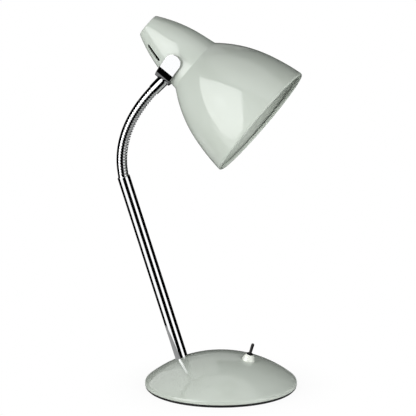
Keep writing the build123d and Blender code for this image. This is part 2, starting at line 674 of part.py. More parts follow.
def shade():
    shell = shade_solid(0) - shade_solid(SHADE_WALL)
    shell += SHADE * tube(HEM_RADIUS + SHADE_WALL, HEM_RADIUS, RIM_STATION - HEM_LIP, RIM_STATION - SHADE_WALL / 2)
    shell -= SHADE * rod(HEM_RADIUS, RIM_STATION - SHADE_WALL - OVERCUT, RIM_STATION + OVERCUT)
    shell -= pivot_holes()
    shell -= vent_slots()
    return shell - lead_passage(LEAD_RADIUS + BUSH_WALL)


def pivot_spacers():
    """Spacers between the neck and the yoke, shaped to the neck on one side and flat on the other."""
    blank = tube(SPACER_RADIUS, PIVOT_RADIUS + PIVOT_CLEARANCE, WASHER_FACE, YOKE_INSIDE - SPACER_GAP)
    return group([side * blank - shade_solid(0) for side in PIVOT_SIDES])


def lead_bush():
    """Rubber bush in the neck's wall, with a lip inside and outside."""
    inside = shade_solid(SHADE_WALL)
    lips = shade_solid(-BUSH_LIP) - shade_solid(0)
    lips += inside - neck_core(SHADE_WALL + BUSH_LIP)
    bush = lips & lead_passage(LEAD_RADIUS + 2 * BUSH_WALL)
    bush += (shade_solid(0) - inside) & lead_passage(LEAD_RADIUS + BUSH_WALL)
    return bush - lead_passage(LEAD_RADIUS)


def head_lead():
    """Lead from the gap inside the yoke to the lampholder's side entry."""
    start = HOLDER_RADIUS - HOLDER_WALL
    skin = corner_round(NECK_CENTRE, NECK_CURVE_RADIUS, 0, LEAD_HOLE_STATION).X
    gap_middle = (skin + YOKE_INSIDE) / 2
    return SHADE * Pos(0, 0, LEAD_HOLE_STATION) * Rot(0, 90, 0) * rod(LEAD_RADIUS, start, gap_middle)


# ================================================================ lampholder
def holder_bracket():
    """Strap that follows the inside of the neck from one pivot to the other, behind the lampholder."""
    outside = BRACKET_GAP + SHADE_WALL
    length = BRACKET_FRONT - BRACKET_BACK
    strip = Box(BRACKET_WIDTH, 2 * YOKE_REACH, length, align=(Align.CENTER, Align.CENTER, Align.MIN))
    strip = SHADE * Pos(0, 0, BRACKET_BACK) * strip
    inside = SHADE * rod(YOKE_REACH, HOLDER_BACK, BRACKET_FRONT + OVERCUT)
    hollow = neck_core(outside + BRACKET_THICKNESS) & inside
    bracket = (neck_core(outside) & strip) - hollow
    bracket -= SHADE * rod(ENTRY_RADIUS, 0, HOLDER_BACK + OVERCUT)
    return bracket - pivot_holes()


def holder_entry():
    return SHADE * tube(ENTRY_RADIUS, ENTRY_BORE, BRACKET_BACK - ENTRY_NUT_THICKNESS - ENTRY_PROUD,
                        HOLDER_BACK + ENTRY_ENGAGEMENT)


def holder_nut():
    return SHADE * hex_nut(ENTRY_NUT_FLATS, ENTRY_RADIUS, BRACKET_BACK - ENTRY_NUT_THICKNESS, BRACKET_BACK)


def holder_cap():
    """Tapered back half of the lampholder."""
    return SHADE * turned_points(
        (ENTRY_RADIUS, HOLDER_BACK),
        (HOLDER_CAP_BACK_RADIUS, HOLDER_BACK),
        (HOLDER_RADIUS, SHELL_BACK),
        (HOLDER_RADIUS - HOLDER_WALL, SHELL_BACK),
        (HOLDER_CAP_BACK_RADIUS - HOLDER_WALL, HOLDER_BACK + HOLDER_WALL),
        (ENTRY_RADIUS, HOLDER_BACK + HOLDER_WALL),
    )


def holder_shell():
    shell = tube(HOLDER_RADIUS, HOLDER_RADIUS - HOLDER_WALL, SHELL_BACK, SHELL_BACK + HOLDER_SHELL_LENGTH)
    entry = Pos(0, 0, LEAD_HOLE_STATION) * Rot(0, 90, 0) * rod(LEAD_RADIUS, CONTACT_RADIUS, YOKE_REACH)
    return SHADE * (shell - entry)


def holder_insulator():
    return SHADE * rod(HOLDER_RADIUS - HOLDER_WALL, SHELL_BACK, THREAD_BACK)


def holder_thread():
    return SHADE * tube(THREAD_BORE + THREAD_WALL, THREAD_BORE, THREAD_BACK, THREAD_BACK + THREAD_LENGTH)


def holder_contact():
    return SHADE * rod(CONTACT_RADIUS, THREAD_BACK, CONTACT_FACE)


# ================================================================ bulb
def bulb_contact():
    return SHADE * rod(CONTACT_RADIUS, CONTACT_FACE, BULB_CAP_BACK)


def bulb_cap():
    shoulder = BULB_CAP_BACK + BULB_CAP_TAPER
    return SHADE * turned_points(
        (0, BULB_CAP_BACK),
        (CONTACT_RADIUS + BULB_CAP_WALL, BULB_CAP_BACK),
        (BULB_CAP_RADIUS, shoulder),
        (BULB_CAP_RADIUS, BULB_CAP_RIM),
        (BULB_CAP_RADIUS - BULB_CAP_WALL, BULB_CAP_RIM),
        (BULB_CAP_RADIUS - BULB_CAP_WALL, shoulder + BULB_CAP_WALL),
        (CONTACT_RADIUS, BULB_CAP_BACK + BULB_CAP_WALL),
        (0, BULB_CAP_BACK + BULB_CAP_WALL),
    )


def bulb_globe():
    return globe_solid(0) - globe_solid(GLOBE_WALL)


# ================================================================ switch
def switch_body():
    body = Box(SWITCH_BODY_WIDTH, SWITCH_BODY_LENGTH, SWITCH_BODY_DEPTH,
               align=(Align.CENTER, Align.CENTER, Align.MAX))
    return SWITCH * Pos(0, 0, SWITCH_BODY_TOP) * body


def switch_bushing():
    return SWITCH * tube(BUSHING_RADIUS, BUSHING_BORE, SWITCH_BODY_TOP, DRESS_NUT_HEIGHT)


def switch_lock_nut():
    return SWITCH * hex_nut(LOCK_NUT_FLATS, BUSHING_RADIUS, SWITCH_BODY_TOP, LOCK_NUT_TOP)


def tooth_ring(radius, height):
    """Outline of the knurling at one height."""
    step = 180 / DRESS_NUT_TEETH
    corners = []
    for i in range(DRESS_NUT_TEETH):
        corners.append(unit(2 * i * step) * radius)
        corners.append(unit((2 * i + 1) * step) * (radius - DRESS_NUT_TOOTH_DEPTH))
    return Pos(0, 0, height) * make_face(Polyline(*corners, close=True))


def switch_dress_nut():
    """Conical knurled nut, with a plain foot that sits on the dome."""
    foot = rod(DRESS_NUT_BASE_RADIUS, -OVERCUT, DRESS_NUT_FOOT)
    base = tooth_ring(DRESS_NUT_BASE_RADIUS, DRESS_NUT_FOOT)
    top = tooth_ring(DRESS_NUT_TOP_RADIUS, DRESS_NUT_HEIGHT)
    nut = foot + loft([base, top], ruled=True) - rod(BUSHING_RADIUS, -2 * OVERCUT, COLLAR_TOP)
    return SWITCH * nut - dome_solid(0)


def switch_collar():
    rise = COLLAR_TOP - LEVER_PIVOT_HEIGHT
    hole = LEVER_ROOT_RADIUS + rise * tan(radians(LEVER_TILT)) + LEVER_CLEARANCE
    return SWITCH * tube(COLLAR_RADIUS, hole, DRESS_NUT_HEIGHT, COLLAR_TOP)


def switch_terminals():
    lug = Box(TERMINAL_THICKNESS, TERMINAL_WIDTH, TERMINAL_LENGTH,
              align=(Align.CENTER, Align.CENTER, Align.MIN))
    first = -(TERMINAL_COUNT - 1) / 2
    sides = [(first + i) * TERMINAL_PITCH for i in range(TERMINAL_COUNT)]
    return group([SWITCH * Pos(0, side, TERMINAL_END) * lug for side in sides])


def switch_lever():
    """Lever with a round tip above its ball and a short tail below it."""
    tip = COLLAR_TOP - LEVER_PIVOT_HEIGHT + LEVER_LENGTH - LEVER_TIP_RADIUS
    lever = turned_points((0, 0), (LEVER_ROOT_RADIUS, 0), (LEVER_TIP_RADIUS, tip), (0, tip))
    lever += Pos(0, 0, tip) * Sphere(LEVER_TIP_RADIUS)
    lever += Sphere(BUSHING_BORE - LEVER_BALL_GAP)
    lever += rod(LEVER_TAIL_RADIUS, -LEVER_TAIL_LENGTH, 0)
    return LEVER * lever


def base_lead():
    """Lead from the stem's lower end, through the weight's pocket, to the middle terminal."""
    start = spot(STEM, 0, 0, NIPPLE_END)
    end_height = TERMINAL_END + BASE_LEAD_END_HEIGHT
    end = spot(SWITCH, -TERMINAL_THICKNESS / 2, 0, end_height)
    run_in = spot(SWITCH, -TERMINAL_THICKNESS / 2 - BASE_LEAD_RUN_IN, 0, end_height)
    drop = spot(STEM, 0, 0, NIPPLE_END - BASE_LEAD_DROP)
    corner = Vector(BASE_LEAD_CORNER_X, 0, BASE_LEAD_CORNER_Z)
    lead, radii = bent_lead([start, drop, corner, run_in, end])
    print("base_lead bends at radii", [round(radius, 1) for radius in radii])
    return lead


# ================================================================ the parts
PARTS = {
    "base_shell": base_shell(),
    "base_weight": base_weight(),
    "base_plate": base_plate(),
    "foot_pad": foot_pad(),
    "shell_studs": shell_studs(),
    "stud_nuts": stud_nuts(),
    "plate_screws": plate_screws(),
    "cord_grommet": cord_grommet(),
    "switch_body": switch_body(),
    "switch_bushing": switch_bushing(),
    "switch_lock_nut": switch_lock_nut(),
    "switch_dress_nut": switch_dress_nut(),
    "switch_collar": switch_collar(),
    "switch_terminals": switch_terminals(),
    "switch_lever": switch_lever(),
    "base_lead": base_lead(),
    "stem_tube": stem_tube(),
    "stem_nipple": stem_nipple(),
    "stem_saddle": stem_saddle(),
    "stem_nut": stem_nut(),
    "stem_top_plug": stem_top_plug(),
    "stem_lead": stem_lead(),
    "neck_ferrule": neck_ferrule(),
    "ferrule_lead": ferrule_lead(),
    "yoke": yoke(),
    "pivot_studs": pivot_studs(),
    "pivot_washers": pivot_washers(),
    "pivot_nuts": pivot_nuts(),
    "pivot_spacers": pivot_spacers(),
    "shade": shade(),
    "lead_bush": lead_bush(),
    "head_lead": head_lead(),
    "holder_bracket": holder_bracket(),
    "holder_entry": holder_entry(),
    "holder_nut": holder_nut(),
    "holder_cap": holder_cap(),
    "holder_shell": holder_shell(),
    "holder_insulator": holder_insulator(),
    "holder_thread": holder_thread(),
    "holder_contact": holder_contact(),
    "bulb_contact": bulb_contact(),
    "bulb_cap": bulb_cap(),
    "bulb_globe": bulb_globe(),
}
LINK = gooseneck_link()
LINK_LEAD = lead_piece(LINK_LENGTH)
for number, frame in enumerate(NECK[:-1], start=1):
    PARTS[f"gooseneck_link_{number:02d}"] = frame * LINK
    PARTS[f"gooseneck_lead_{number:02d}"] = frame * LINK_LEAD

os.makedirs("parts", exist_ok=True)
for name, shape in PARTS.items():
    export_step(shape, f"parts/{name}.step")

for number, frame in enumerate(NECK, start=1):
    print(f"pivot {number}", frame.position, "link heading", frame.orientation)
print("shade pivot", PIVOT_POINT, "yoke heading", YOKE_HEADING, "shade heading", SHADE_HEADING)
print("switch pivot", LEVER.position, "dome radius", DOME_RADIUS)
print("cord inlet", spot(CORD_INLET, 0, 0, BASE_RADIUS + GROMMET_LIP - GROMMET_SLEEVE_LENGTH / 2))
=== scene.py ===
"""Looks of a gooseneck desk lamp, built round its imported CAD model.

Lengths are in millimetres and angles in degrees until a mesh, a light or the camera is made, which
are in metres. +X is the side that the shade reaches towards, XZ is the lamp's plane of symmetry,
and a heading is an angle above +X in that plane.
"""

import json
import logging
import math
from abc import ABC, abstractmethod
from collections.abc import Sequence
from dataclasses import dataclass
from enum import Enum
from typing import Any

import bmesh
import bpy
import numpy as np
from mathutils import Matrix


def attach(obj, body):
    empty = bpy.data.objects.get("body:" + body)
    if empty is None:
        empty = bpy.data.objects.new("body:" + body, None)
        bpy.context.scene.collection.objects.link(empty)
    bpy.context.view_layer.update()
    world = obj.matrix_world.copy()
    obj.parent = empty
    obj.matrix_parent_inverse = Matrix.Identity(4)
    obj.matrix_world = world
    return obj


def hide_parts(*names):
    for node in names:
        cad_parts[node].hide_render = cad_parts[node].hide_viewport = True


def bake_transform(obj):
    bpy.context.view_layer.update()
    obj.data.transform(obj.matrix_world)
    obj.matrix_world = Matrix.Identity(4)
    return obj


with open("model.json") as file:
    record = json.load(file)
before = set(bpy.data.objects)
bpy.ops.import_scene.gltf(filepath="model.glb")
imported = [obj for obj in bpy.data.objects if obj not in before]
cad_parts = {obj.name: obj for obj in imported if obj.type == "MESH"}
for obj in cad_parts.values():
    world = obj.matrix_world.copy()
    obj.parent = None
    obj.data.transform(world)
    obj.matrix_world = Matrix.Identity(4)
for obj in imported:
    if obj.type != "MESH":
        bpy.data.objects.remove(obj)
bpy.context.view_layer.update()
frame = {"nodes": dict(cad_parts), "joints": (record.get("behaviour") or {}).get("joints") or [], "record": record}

MM = 0.001
LATERAL = np.array([0.0, 1.0, 0.0])
# Points of a mesh closer than the weld are one, and edges shorter than the speck are taken out.
WELD_METRES = 1e-6
SPECK_METRES = 1e-7
# Share of a rounding that lies between the ends of its arc and the support points of the flats.
SUPPORT_SHARE = 0.4
log = logging.getLogger("desk_lamp")


# ---------------------------------------------------------------- directions and axes
def ray(heading: float) -> np.ndarray:
    """Unit vector in the lamp's plane, at a heading above +X."""
    return np.array([math.cos(math.radians(heading)), 0.0, math.sin(math.radians(heading))])


def heading_of(vector: np.ndarray) -> float:
    """Angle of a vector of a half section, from outwards towards upwards."""
    return math.degrees(math.atan2(vector[1], vector[0]))


def joint_point(child: str) -> np.ndarray:
    """Place in millimetres of the joint that carries a body."""
    joint = next(j for j in frame["joints"] if j["child"] == child)
    return np.array(joint["pos_m"]) / MM


@dataclass(frozen=True)
class Axes:
    """Origin and unit directions of a piece's own coordinates."""

    origin: np.ndarray
    x: np.ndarray
    y: np.ndarray
    z: np.ndarray

    @classmethod
    def along(cls, origin: np.ndarray, direction: np.ndarray) -> "Axes":
        """Axes with z along a direction of the lamp's plane and y across the lamp."""
        return cls(origin, np.cross(LATERAL, direction), LATERAL, direction)

    def place(self, points: np.ndarray) -> np.ndarray:
        """Points of the lamp from local ones, on the last axis of the array."""
        return self.origin + points @ np.stack([self.x, self.y, self.z])


UPRIGHT = Axes.along(np.zeros(3), np.array([0.0, 0.0, 1.0]))


# ---------------------------------------------------------------- surfaces
@dataclass
class Patch:
    """Points of a surface and the quads between them, by number."""

    points: np.ndarray
    quads: np.ndarray


def grid_quads(rows: int, columns: int, wrap_rows: bool, wrap_columns: bool) -> np.ndarray:
    """Quads between neighbours on a grid.

    Args:
        rows: number of rows.
        columns: number of columns.
        wrap_rows: whether the last row is joined to the first.
        wrap_columns: whether the last column is joined to the first.

    Returns:
        Point numbers of each quad, counted along the rows.
    """
    row = np.arange(rows if wrap_rows else rows - 1)[:, None]
    column = np.arange(columns if wrap_columns else columns - 1)[None, :]
    next_row, next_column = (row + 1) % rows, (column + 1) % columns
    corners = [row * columns + column, row * columns + next_column,
               next_row * columns + next_column, next_row * columns + column]
    return np.stack(corners, -1).reshape(-1, 4)


def grid_patch(points: np.ndarray, wrap_rows: bool = False, wrap_columns: bool = True) -> Patch:
    """Patch from points on a grid of rows and columns."""
    rows, columns = points.shape[:2]
    return Patch(points.reshape(-1, 3), grid_quads(rows, columns, wrap_rows, wrap_columns))


def stand_for(piece: bpy.types.Object, body: str, *nodes: str) -> None:
    """Let a piece ride on a body in place of CAD nodes."""
    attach(piece, body)
    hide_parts(*nodes)


def arc(centre: Sequence[float], radius: float, start: float, end: float,
        step: float = 4.0) -> np.ndarray:
    """Arc in a half section: centre + radius (cos a, sin a) at even angles a.

    Args:
        centre: the arc's middle as (radius, height).
        radius: the arc's own radius.
        start: angle of the first point.
        end: angle of the last point.
        step: largest angle between neighbouring points.

    Returns:
        The arc's points as (radius, height).
    """
    count = max(2, math.ceil(abs(end - start) / step) + 1)
    angle = np.radians(np.linspace(start, end, count))
    return np.stack([centre[0] + radius * np.cos(angle), centre[1] + radius * np.sin(angle)], -1)


def rounded(*corners: tuple[float, float, float], closed: bool = True,
            steps: int = 5) -> np.ndarray:
    """Half section through corners, each rounded by an arc that touches both sides.

    The arc's ends lie radius times tan(turn / 2) from the corner, and a support point stands just
    before and after each arc, so that the shading of the flats stays flat.

    Args:
        corners: (radius, height, rounding) of each corner; a rounding of 0 is a sharp corner.
        closed: whether the last corner is joined to the first.
        steps: points on each arc.

    Returns:
        The outline's points as (radius, height).
    """
    pieces = []
    count = len(corners)
    for i, (radius, height, rounding) in enumerate(corners):
        here = np.array([radius, height])
        if rounding <= 0 or (not closed and i in (0, count - 1)):
            pieces.append(here[None])
            continue
        before = np.array(corners[i - 1][:2]) - here
        after = np.array(corners[(i + 1) % count][:2]) - here
        before, after = before / np.linalg.norm(before), after / np.linalg.norm(after)
        half = 0.5 * math.acos(float(np.clip(before @ after, -1, 1)))
        reach = rounding / math.tan(half)
        away = (before + after) / np.linalg.norm(before + after)
        middle = here + away * rounding / math.sin(half)
        sides = np.stack([here + before * reach - middle, here + after * reach - middle])
        share = np.linspace(0, 1, steps)[:, None]
        turn = math.pi - 2 * half
        bend = (np.sin((1 - share) * turn) * sides[0] + np.sin(share * turn) * sides[1])
        bend /= math.sin(turn)
        support = reach + rounding * SUPPORT_SHARE
        pieces += [(here + before * support)[None], middle + bend, (here + after * support)[None]]
    return np.concatenate(pieces)


def lathe(section: np.ndarray, axes: Axes, closed: bool = True, columns: int = 96) -> Patch:
    """Surface of revolution: (radius, height) goes to (radius cos a, radius sin a, height).

    Args:
        section: the half section's points as (radius, height).
        axes: the piece's own axes, with z as the axis of revolution.
        closed: whether the section's last point is joined to its first.
        columns: points round the axis.

    Returns:
        The surface.
    """
    angle = np.linspace(0, 2 * math.pi, columns, endpoint=False)
    radius, height = section[:, :1], section[:, 1:]
    local = np.stack([radius * np.cos(angle), radius * np.sin(angle), height + 0 * angle], -1)
    return grid_patch(axes.place(local), wrap_rows=closed)


# ---------------------------------------------------------------- pierced thin walls
@dataclass(frozen=True)
class Hole:
    """Round-ended hole in a thin wall of revolution, longer along the section than around it."""

    angle: float
    height: float
    half_length: float
    half_width: float
    least_side: float = 1e-9

    def mirrored(self) -> "Hole":
        """The same hole on the other side of the lamp's plane."""
        return Hole(-self.angle, self.height, self.half_length, self.half_width)

    def edge(self, across: np.ndarray, along: np.ndarray) -> tuple[np.ndarray, np.ndarray]:
        """Point of the hole's edge in the direction of each given point, from the hole's middle.

        A ray from the middle of a slot meets its straight side at half width over the ray's
        sideways part, or, past the side's end, the round end, whose distance solves the quadratic
        of a ray and a circle.

        Args:
            across: the given points' distances from the middle, around the wall.
            along: their distances from the middle, along the section.

        Returns:
            The same two distances of the points on the edge.
        """
        size = np.hypot(across, along)
        side, forward = across / size, along / size
        straight = self.half_length - self.half_width
        on_side = self.half_width / np.maximum(np.abs(side), self.least_side)
        shift = straight * np.abs(forward)
        on_end = shift + np.sqrt(np.maximum(shift**2 - straight**2 + self.half_width**2, 0))
        reach = np.where(on_side * np.abs(forward) <= straight, on_side, on_end)
        return side * reach, forward * reach


@dataclass
class Wall:
    """Thin wall of revolution, given by its outer section.

    The outside is on the section's right-hand side.
    """

    section: np.ndarray
    thickness: float
    axes: Axes
    holes: tuple[Hole, ...] = ()
    longest_step: float = 2.4
    largest_turn: float = 7.0
    columns: int = 120
    rings: int = 4
    hole_margin: float = 1.1
    fine_step: float = 0.08
    smoothing: int = 9
    pole_spread: float = 0.01

    def __post_init__(self) -> None:
        """Work out the distance along the section and its normals."""
        steps = np.linalg.norm(np.diff(self.section, axis=0), axis=1)
        fine = np.linspace(0, steps.sum(), int(steps.sum() / self.fine_step))
        distance = np.concatenate([[0], np.cumsum(steps)])
        self.section = np.stack([np.interp(fine, distance, self.section[:, k]) for k in (0, 1)], -1)
        self.distance = fine
        tangent = np.gradient(self.section, fine, axis=0)
        tangent /= np.linalg.norm(tangent, axis=1, keepdims=True)
        self.normal = np.stack([tangent[:, 1], -tangent[:, 0]], -1)

    def rows(self) -> np.ndarray:
        """Distances of the grid's rows, closer together where the section turns.

        Returns:
            The distances along the section, at even steps of the running sum of the rows' density.
        """
        heading = np.unwrap(np.arctan2(self.normal[:, 1], self.normal[:, 0]))
        turning = np.abs(np.gradient(heading, self.distance)) / math.radians(self.largest_turn)
        smooth = np.convolve(turning, np.ones(self.smoothing) / self.smoothing, mode="same")
        steps = np.gradient(self.distance)
        density = np.cumsum(np.maximum(smooth, 1 / self.longest_step) * steps)
        density -= density[0]
        even = np.linspace(0, density[-1], math.ceil(density[-1]) + 1)
        return np.interp(even, density, self.distance)

    def surface(self, angle: np.ndarray, distance: np.ndarray, depth: float) -> np.ndarray:
        """Points of the wall: (radius cos a, radius sin a, height) of the section moved inwards.

        Args:
            angle: angles round the axis.
            distance: distances along the section.
            depth: distance under the outer skin.

        Returns:
            The points, in the lamp's coordinates.
        """
        section = self.section - self.normal * depth
        radius = np.interp(distance, self.distance, section[:, 0])
        height = np.interp(distance, self.distance, section[:, 1])
        turn = np.radians(angle)
        return self.axes.place(np.stack([radius * np.cos(turn), radius * np.sin(turn), height], -1))

    def block(self, hole: Hole, rows: np.ndarray,
              columns: np.ndarray) -> tuple[float, float, slice, slice]:
        """Rectangle of grid cells that a hole and its margin lie in.

        Args:
            hole: the hole.
            rows: distances of the grid's rows.
            columns: angles of the grid's columns.

        Returns:
            The hole's middle along the section, the skin's length of one degree there, and the
            rectangle's rows and columns.
        """
        middle = float(self.distance[np.abs(self.section[:, 1] - hole.height).argmin()])
        scale = math.radians(float(np.interp(middle, self.distance, self.section[:, 0])))
        room = (hole.half_width + self.hole_margin) / scale
        reach = hole.half_length + self.hole_margin
        left, right = np.searchsorted(columns, [hole.angle - room, hole.angle + room]) + [-1, 0]
        low, high = np.searchsorted(rows, [middle - reach, middle + reach]) + [-1, 0]
        return middle, scale, slice(max(low, 0), min(high, len(rows) - 1)), slice(left, right)

    def patch(self) -> Patch:
        """Both skins of the wall, its free edges and the edges of its holes.

        Each hole takes a rectangle of cells out of the grid. Rings of quads fill the rectangle
        between its edge and the hole's: each ring is a share of the way, in a straight line, from
        one to the other.

        Returns:
            One closed surface.
        """
        rows = self.rows()
        columns = np.linspace(-180, 180, self.columns, endpoint=False)
        angle, distance = [a.ravel() for a in np.meshgrid(columns, rows)]
        cells = grid_quads(len(rows), len(columns), False, True)
        cells = cells.reshape(len(rows) - 1, len(columns), 4)
        kept = np.ones(cells.shape[:2], bool)
        quads, edges = [], []
        for hole in self.holes:
            middle, scale, block_rows, block_columns = self.block(hole, rows, columns)
            kept[block_rows, block_columns] = False
            across_run = np.arange(block_columns.start, block_columns.stop)
            along_run = np.arange(block_rows.start, block_rows.stop)
            loop = np.concatenate([
                block_rows.start * self.columns + across_run,
                along_run * self.columns + block_columns.stop,
                block_rows.stop * self.columns + across_run[::-1] + 1,
                (along_run[::-1] + 1) * self.columns + block_columns.start,
            ])
            across = (angle[loop] - hole.angle) * scale
            along = distance[loop] - middle
            edge_across, edge_along = hole.edge(across, along)
            share = np.linspace(0, 1, self.rings + 1)[1:, None]
            ring_angle = hole.angle + (across * (1 - share) + edge_across * share) / scale
            ring_distance = middle + along * (1 - share) + edge_along * share
            added = len(angle) + np.arange(share.size * loop.size).reshape(share.size, -1)
            numbers = np.concatenate([loop[None], added])
            angle = np.concatenate([angle, ring_angle.ravel()])
            distance = np.concatenate([distance, ring_distance.ravel()])
            quads.append(numbers.ravel()[grid_quads(*numbers.shape, False, True)])
            edges.append(numbers[-1])
        outer = np.concatenate([cells[kept], *quads])
        count = len(angle)
        edges += [np.arange(self.columns) + start * self.columns for start in (0, len(rows) - 1)]
        rims = [np.stack([e, np.roll(e, -1), np.roll(e, -1) + count, e + count], -1) for e in edges
                if self.surface(angle[e], distance[e], 0).std(axis=0).max() > self.pole_spread]
        points = np.concatenate([self.surface(angle, distance, depth)
                                 for depth in (0, self.thickness)])
        return Patch(points, np.concatenate([outer, outer[:, ::-1] + count, *rims]))


# ---------------------------------------------------------------- material nodes
def linear(hex_colour: str) -> tuple[float, float, float, float]:
    """Linear colour of an sRGB hex value.

    A value over the foot of the curve is ((value + 0.055) / 1.055) to the power 2.4, and a value
    in the foot is divided by 12.92.

    Args:
        hex_colour: six hex digits.

    Returns:
        Red, green, blue and a full alpha.
    """
    values = np.array([int(hex_colour[i:i + 2], 16) for i in (0, 2, 4)]) / 255
    values = np.where(values <= 0.04045, values / 12.92, ((values + 0.055) / 1.055) ** 2.4)
    return (*values.tolist(), 1.0)


def feed(tree: bpy.types.NodeTree, node: bpy.types.Node, inputs: dict[str | int, Any]) -> None:
    """Set or link a node's inputs.

    Args:
        tree: the node's tree.
        node: the node.
        inputs: a value, or the output socket to link, for each input by name or number.
    """
    for name, value in inputs.items():
        if isinstance(value, bpy.types.NodeSocket):
            tree.links.new(value, node.inputs[name])
        else:
            node.inputs[name].default_value = value


def add_node(tree: bpy.types.NodeTree, kind: str, inputs: dict[str | int, Any] | None = None,
             **settings: Any) -> bpy.types.Node:
    """Add a node with its settings, input values and links.

    Args:
        tree: the material's or the world's node tree.
        kind: the node's type name.
        inputs: a value, or the output socket to link, for each input by name or number.
        settings: attributes of the node, by name.

    Returns:
        The new node.
    """
    node = tree.nodes.new(kind)
    for name, value in settings.items():
        setattr(node, name, value)
    feed(tree, node, inputs or {})
    return node


def mottle(tree: bpy.types.NodeTree, place: bpy.types.NodeSocket, size: float, detail: float,
           roughness: float = 0.5) -> bpy.types.NodeSocket:
    """Noise from 0 to 1.

    Args:
        tree: the material's node tree.
        place: the place on the object in metres.
        size: size of its marks.
        detail: octaves of finer marks.
        roughness: share of the finer marks.

    Returns:
        The noise's value.
    """
    noise = add_node(tree, "ShaderNodeTexNoise", {"Vector": place, "Scale": 1 / (size * MM),
                                                  "Detail": detail, "Roughness": roughness})
    return noise.outputs["Fac"]


def spread(tree: bpy.types.NodeTree, value: bpy.types.NodeSocket, span: tuple[float, float],
           result: tuple[float, float]) -> bpy.types.NodeSocket:
    """Straight line from a span of values to a span of results, held at its ends.

    Args:
        tree: the material's node tree.
        value: the value.
        span: its lowest and highest value.
        result: what these two become.

    Returns:
        The result.
    """
    line = add_node(tree, "ShaderNodeMapRange",
                    {"Value": value, "From Min": span[0], "From Max": span[1],
                     "To Min": result[0], "To Max": result[1]})
    return line.outputs["Result"]


def relief(tree: bpy.types.NodeTree, height: bpy.types.NodeSocket,
           depth: float) -> bpy.types.NodeSocket:
    """Normal of a surface that a pattern raises.

    Args:
        tree: the material's node tree.
        height: the pattern's height from 0 to 1.
        depth: what its full height stands for.

    Returns:
        The normal.
    """
    bump = add_node(tree, "ShaderNodeBump",
                    {"Height": height, "Strength": 1.0, "Distance": depth * MM})
    return bump.outputs["Normal"]


def blend_of(tree: bpy.types.NodeTree, value: bpy.types.NodeSocket,
             *stops: tuple[float, str]) -> bpy.types.NodeSocket:
    """Colour of a value between two stops.

    Args:
        tree: the material's node tree.
        value: the value.
        stops: a position and a hex colour each.

    Returns:
        The colour.
    """
    ramp = add_node(tree, "ShaderNodeValToRGB", {"Fac": value})
    for element, (position, colour) in zip(ramp.color_ramp.elements, stops):
        element.position = position
        element.color = linear(colour)
    return ramp.outputs["Color"]


@dataclass(frozen=True)
class Finish(ABC):
    """A real material and the way its surface was made."""

    name: str

    def material(self) -> bpy.types.Material:
        """Make the Blender material.

        Returns:
            A principled shader with what the finish gives it.
        """
        material = bpy.data.materials.new(self.name)
        material.use_nodes = True
        tree = material.node_tree
        tree.nodes.clear()
        shader = add_node(tree, "ShaderNodeBsdfPrincipled")
        add_node(tree, "ShaderNodeOutputMaterial", {"Surface": shader.outputs["BSDF"]})
        place = add_node(tree, "ShaderNodeTexCoord").outputs["Object"]
        feed(tree, shader, self.dress(tree, place))
        return material

    @abstractmethod
    def dress(self, tree: bpy.types.NodeTree, place: bpy.types.NodeSocket) -> dict[str, Any]:
        """Values and patterns of the shader's inputs, from the place on the object in metres.

        Args:
            tree: the material's node tree.
            place: the place on the object in metres.

        Returns:
            What each of the shader's inputs takes.
        """


@dataclass(frozen=True)
class StoveEnamel(Finish):
    """Sprayed gloss stove enamel on pressed steel, with a faint orange peel under reflections."""

    colour: str = "b9c0b8"
    cloud: str = "b6bdb4"
    roughness: float = 0.07
    ior: float = 1.6
    peel_pitch: float = 1.6
    peel_height: float = 0.0012
    cloud_size: float = 45.0

    def dress(self, tree: bpy.types.NodeTree, place: bpy.types.NodeSocket) -> dict[str, Any]:
        """Gloss over a colour that drifts a little, with orange peel as bump.

        Args:
            tree: the material's node tree.
            place: the place on the object in metres.

        Returns:
            What each of the shader's inputs takes.
        """
        drift = mottle(tree, place, self.cloud_size, detail=2.0, roughness=0.4)
        peel = mottle(tree, place, self.peel_pitch, detail=1.0)
        return {"Base Color": blend_of(tree, drift, (0.3, self.cloud), (0.7, self.colour)),
                "Normal": relief(tree, peel, self.peel_height),
                "Roughness": self.roughness, "IOR": self.ior}


@dataclass(frozen=True)
class ChromePlate(Finish):
    """Bright chromium plate on polished steel: a cool mirror with faint polishing haze."""

    colour: str = "edeeef"
    roughness: tuple[float, float] = (0.03, 0.07)
    haze_size: float = 6.0

    def dress(self, tree: bpy.types.NodeTree, place: bpy.types.NodeSocket) -> dict[str, Any]:
        """Metal whose polish varies from place to place.

        Args:
            tree: the material's node tree.
            place: the place on the object in metres.

        Returns:
            What each of the shader's inputs takes.
        """
        haze = mottle(tree, place, self.haze_size, detail=4.0, roughness=0.6)
        return {"Roughness": spread(tree, haze, (0.35, 0.7), self.roughness),
                "Base Color": linear(self.colour), "Metallic": 1.0}


@dataclass(frozen=True)
class WorkedMetal(Finish):
    """Metal as made: cast, plated, drawn or cut, with a grain in colour, gloss and surface."""

    colour: str
    stain: str
    roughness: tuple[float, float]
    grain: float
    depth: float
    metallic: float = 1.0

    def dress(self, tree: bpy.types.NodeTree, place: bpy.types.NodeSocket) -> dict[str, Any]:
        """Grain as colour, roughness and bump from one noise.

        Args:
            tree: the material's node tree.
            place: the place on the object in metres.

        Returns:
            What each of the shader's inputs takes.
        """
        grain = mottle(tree, place, self.grain, detail=5.0, roughness=0.6)
        return {"Base Color": blend_of(tree, grain, (0.3, self.stain), (0.7, self.colour)),
                "Roughness": spread(tree, grain, (0.3, 0.7), self.roughness),
                "Normal": relief(tree, grain, self.depth), "Metallic": self.metallic}


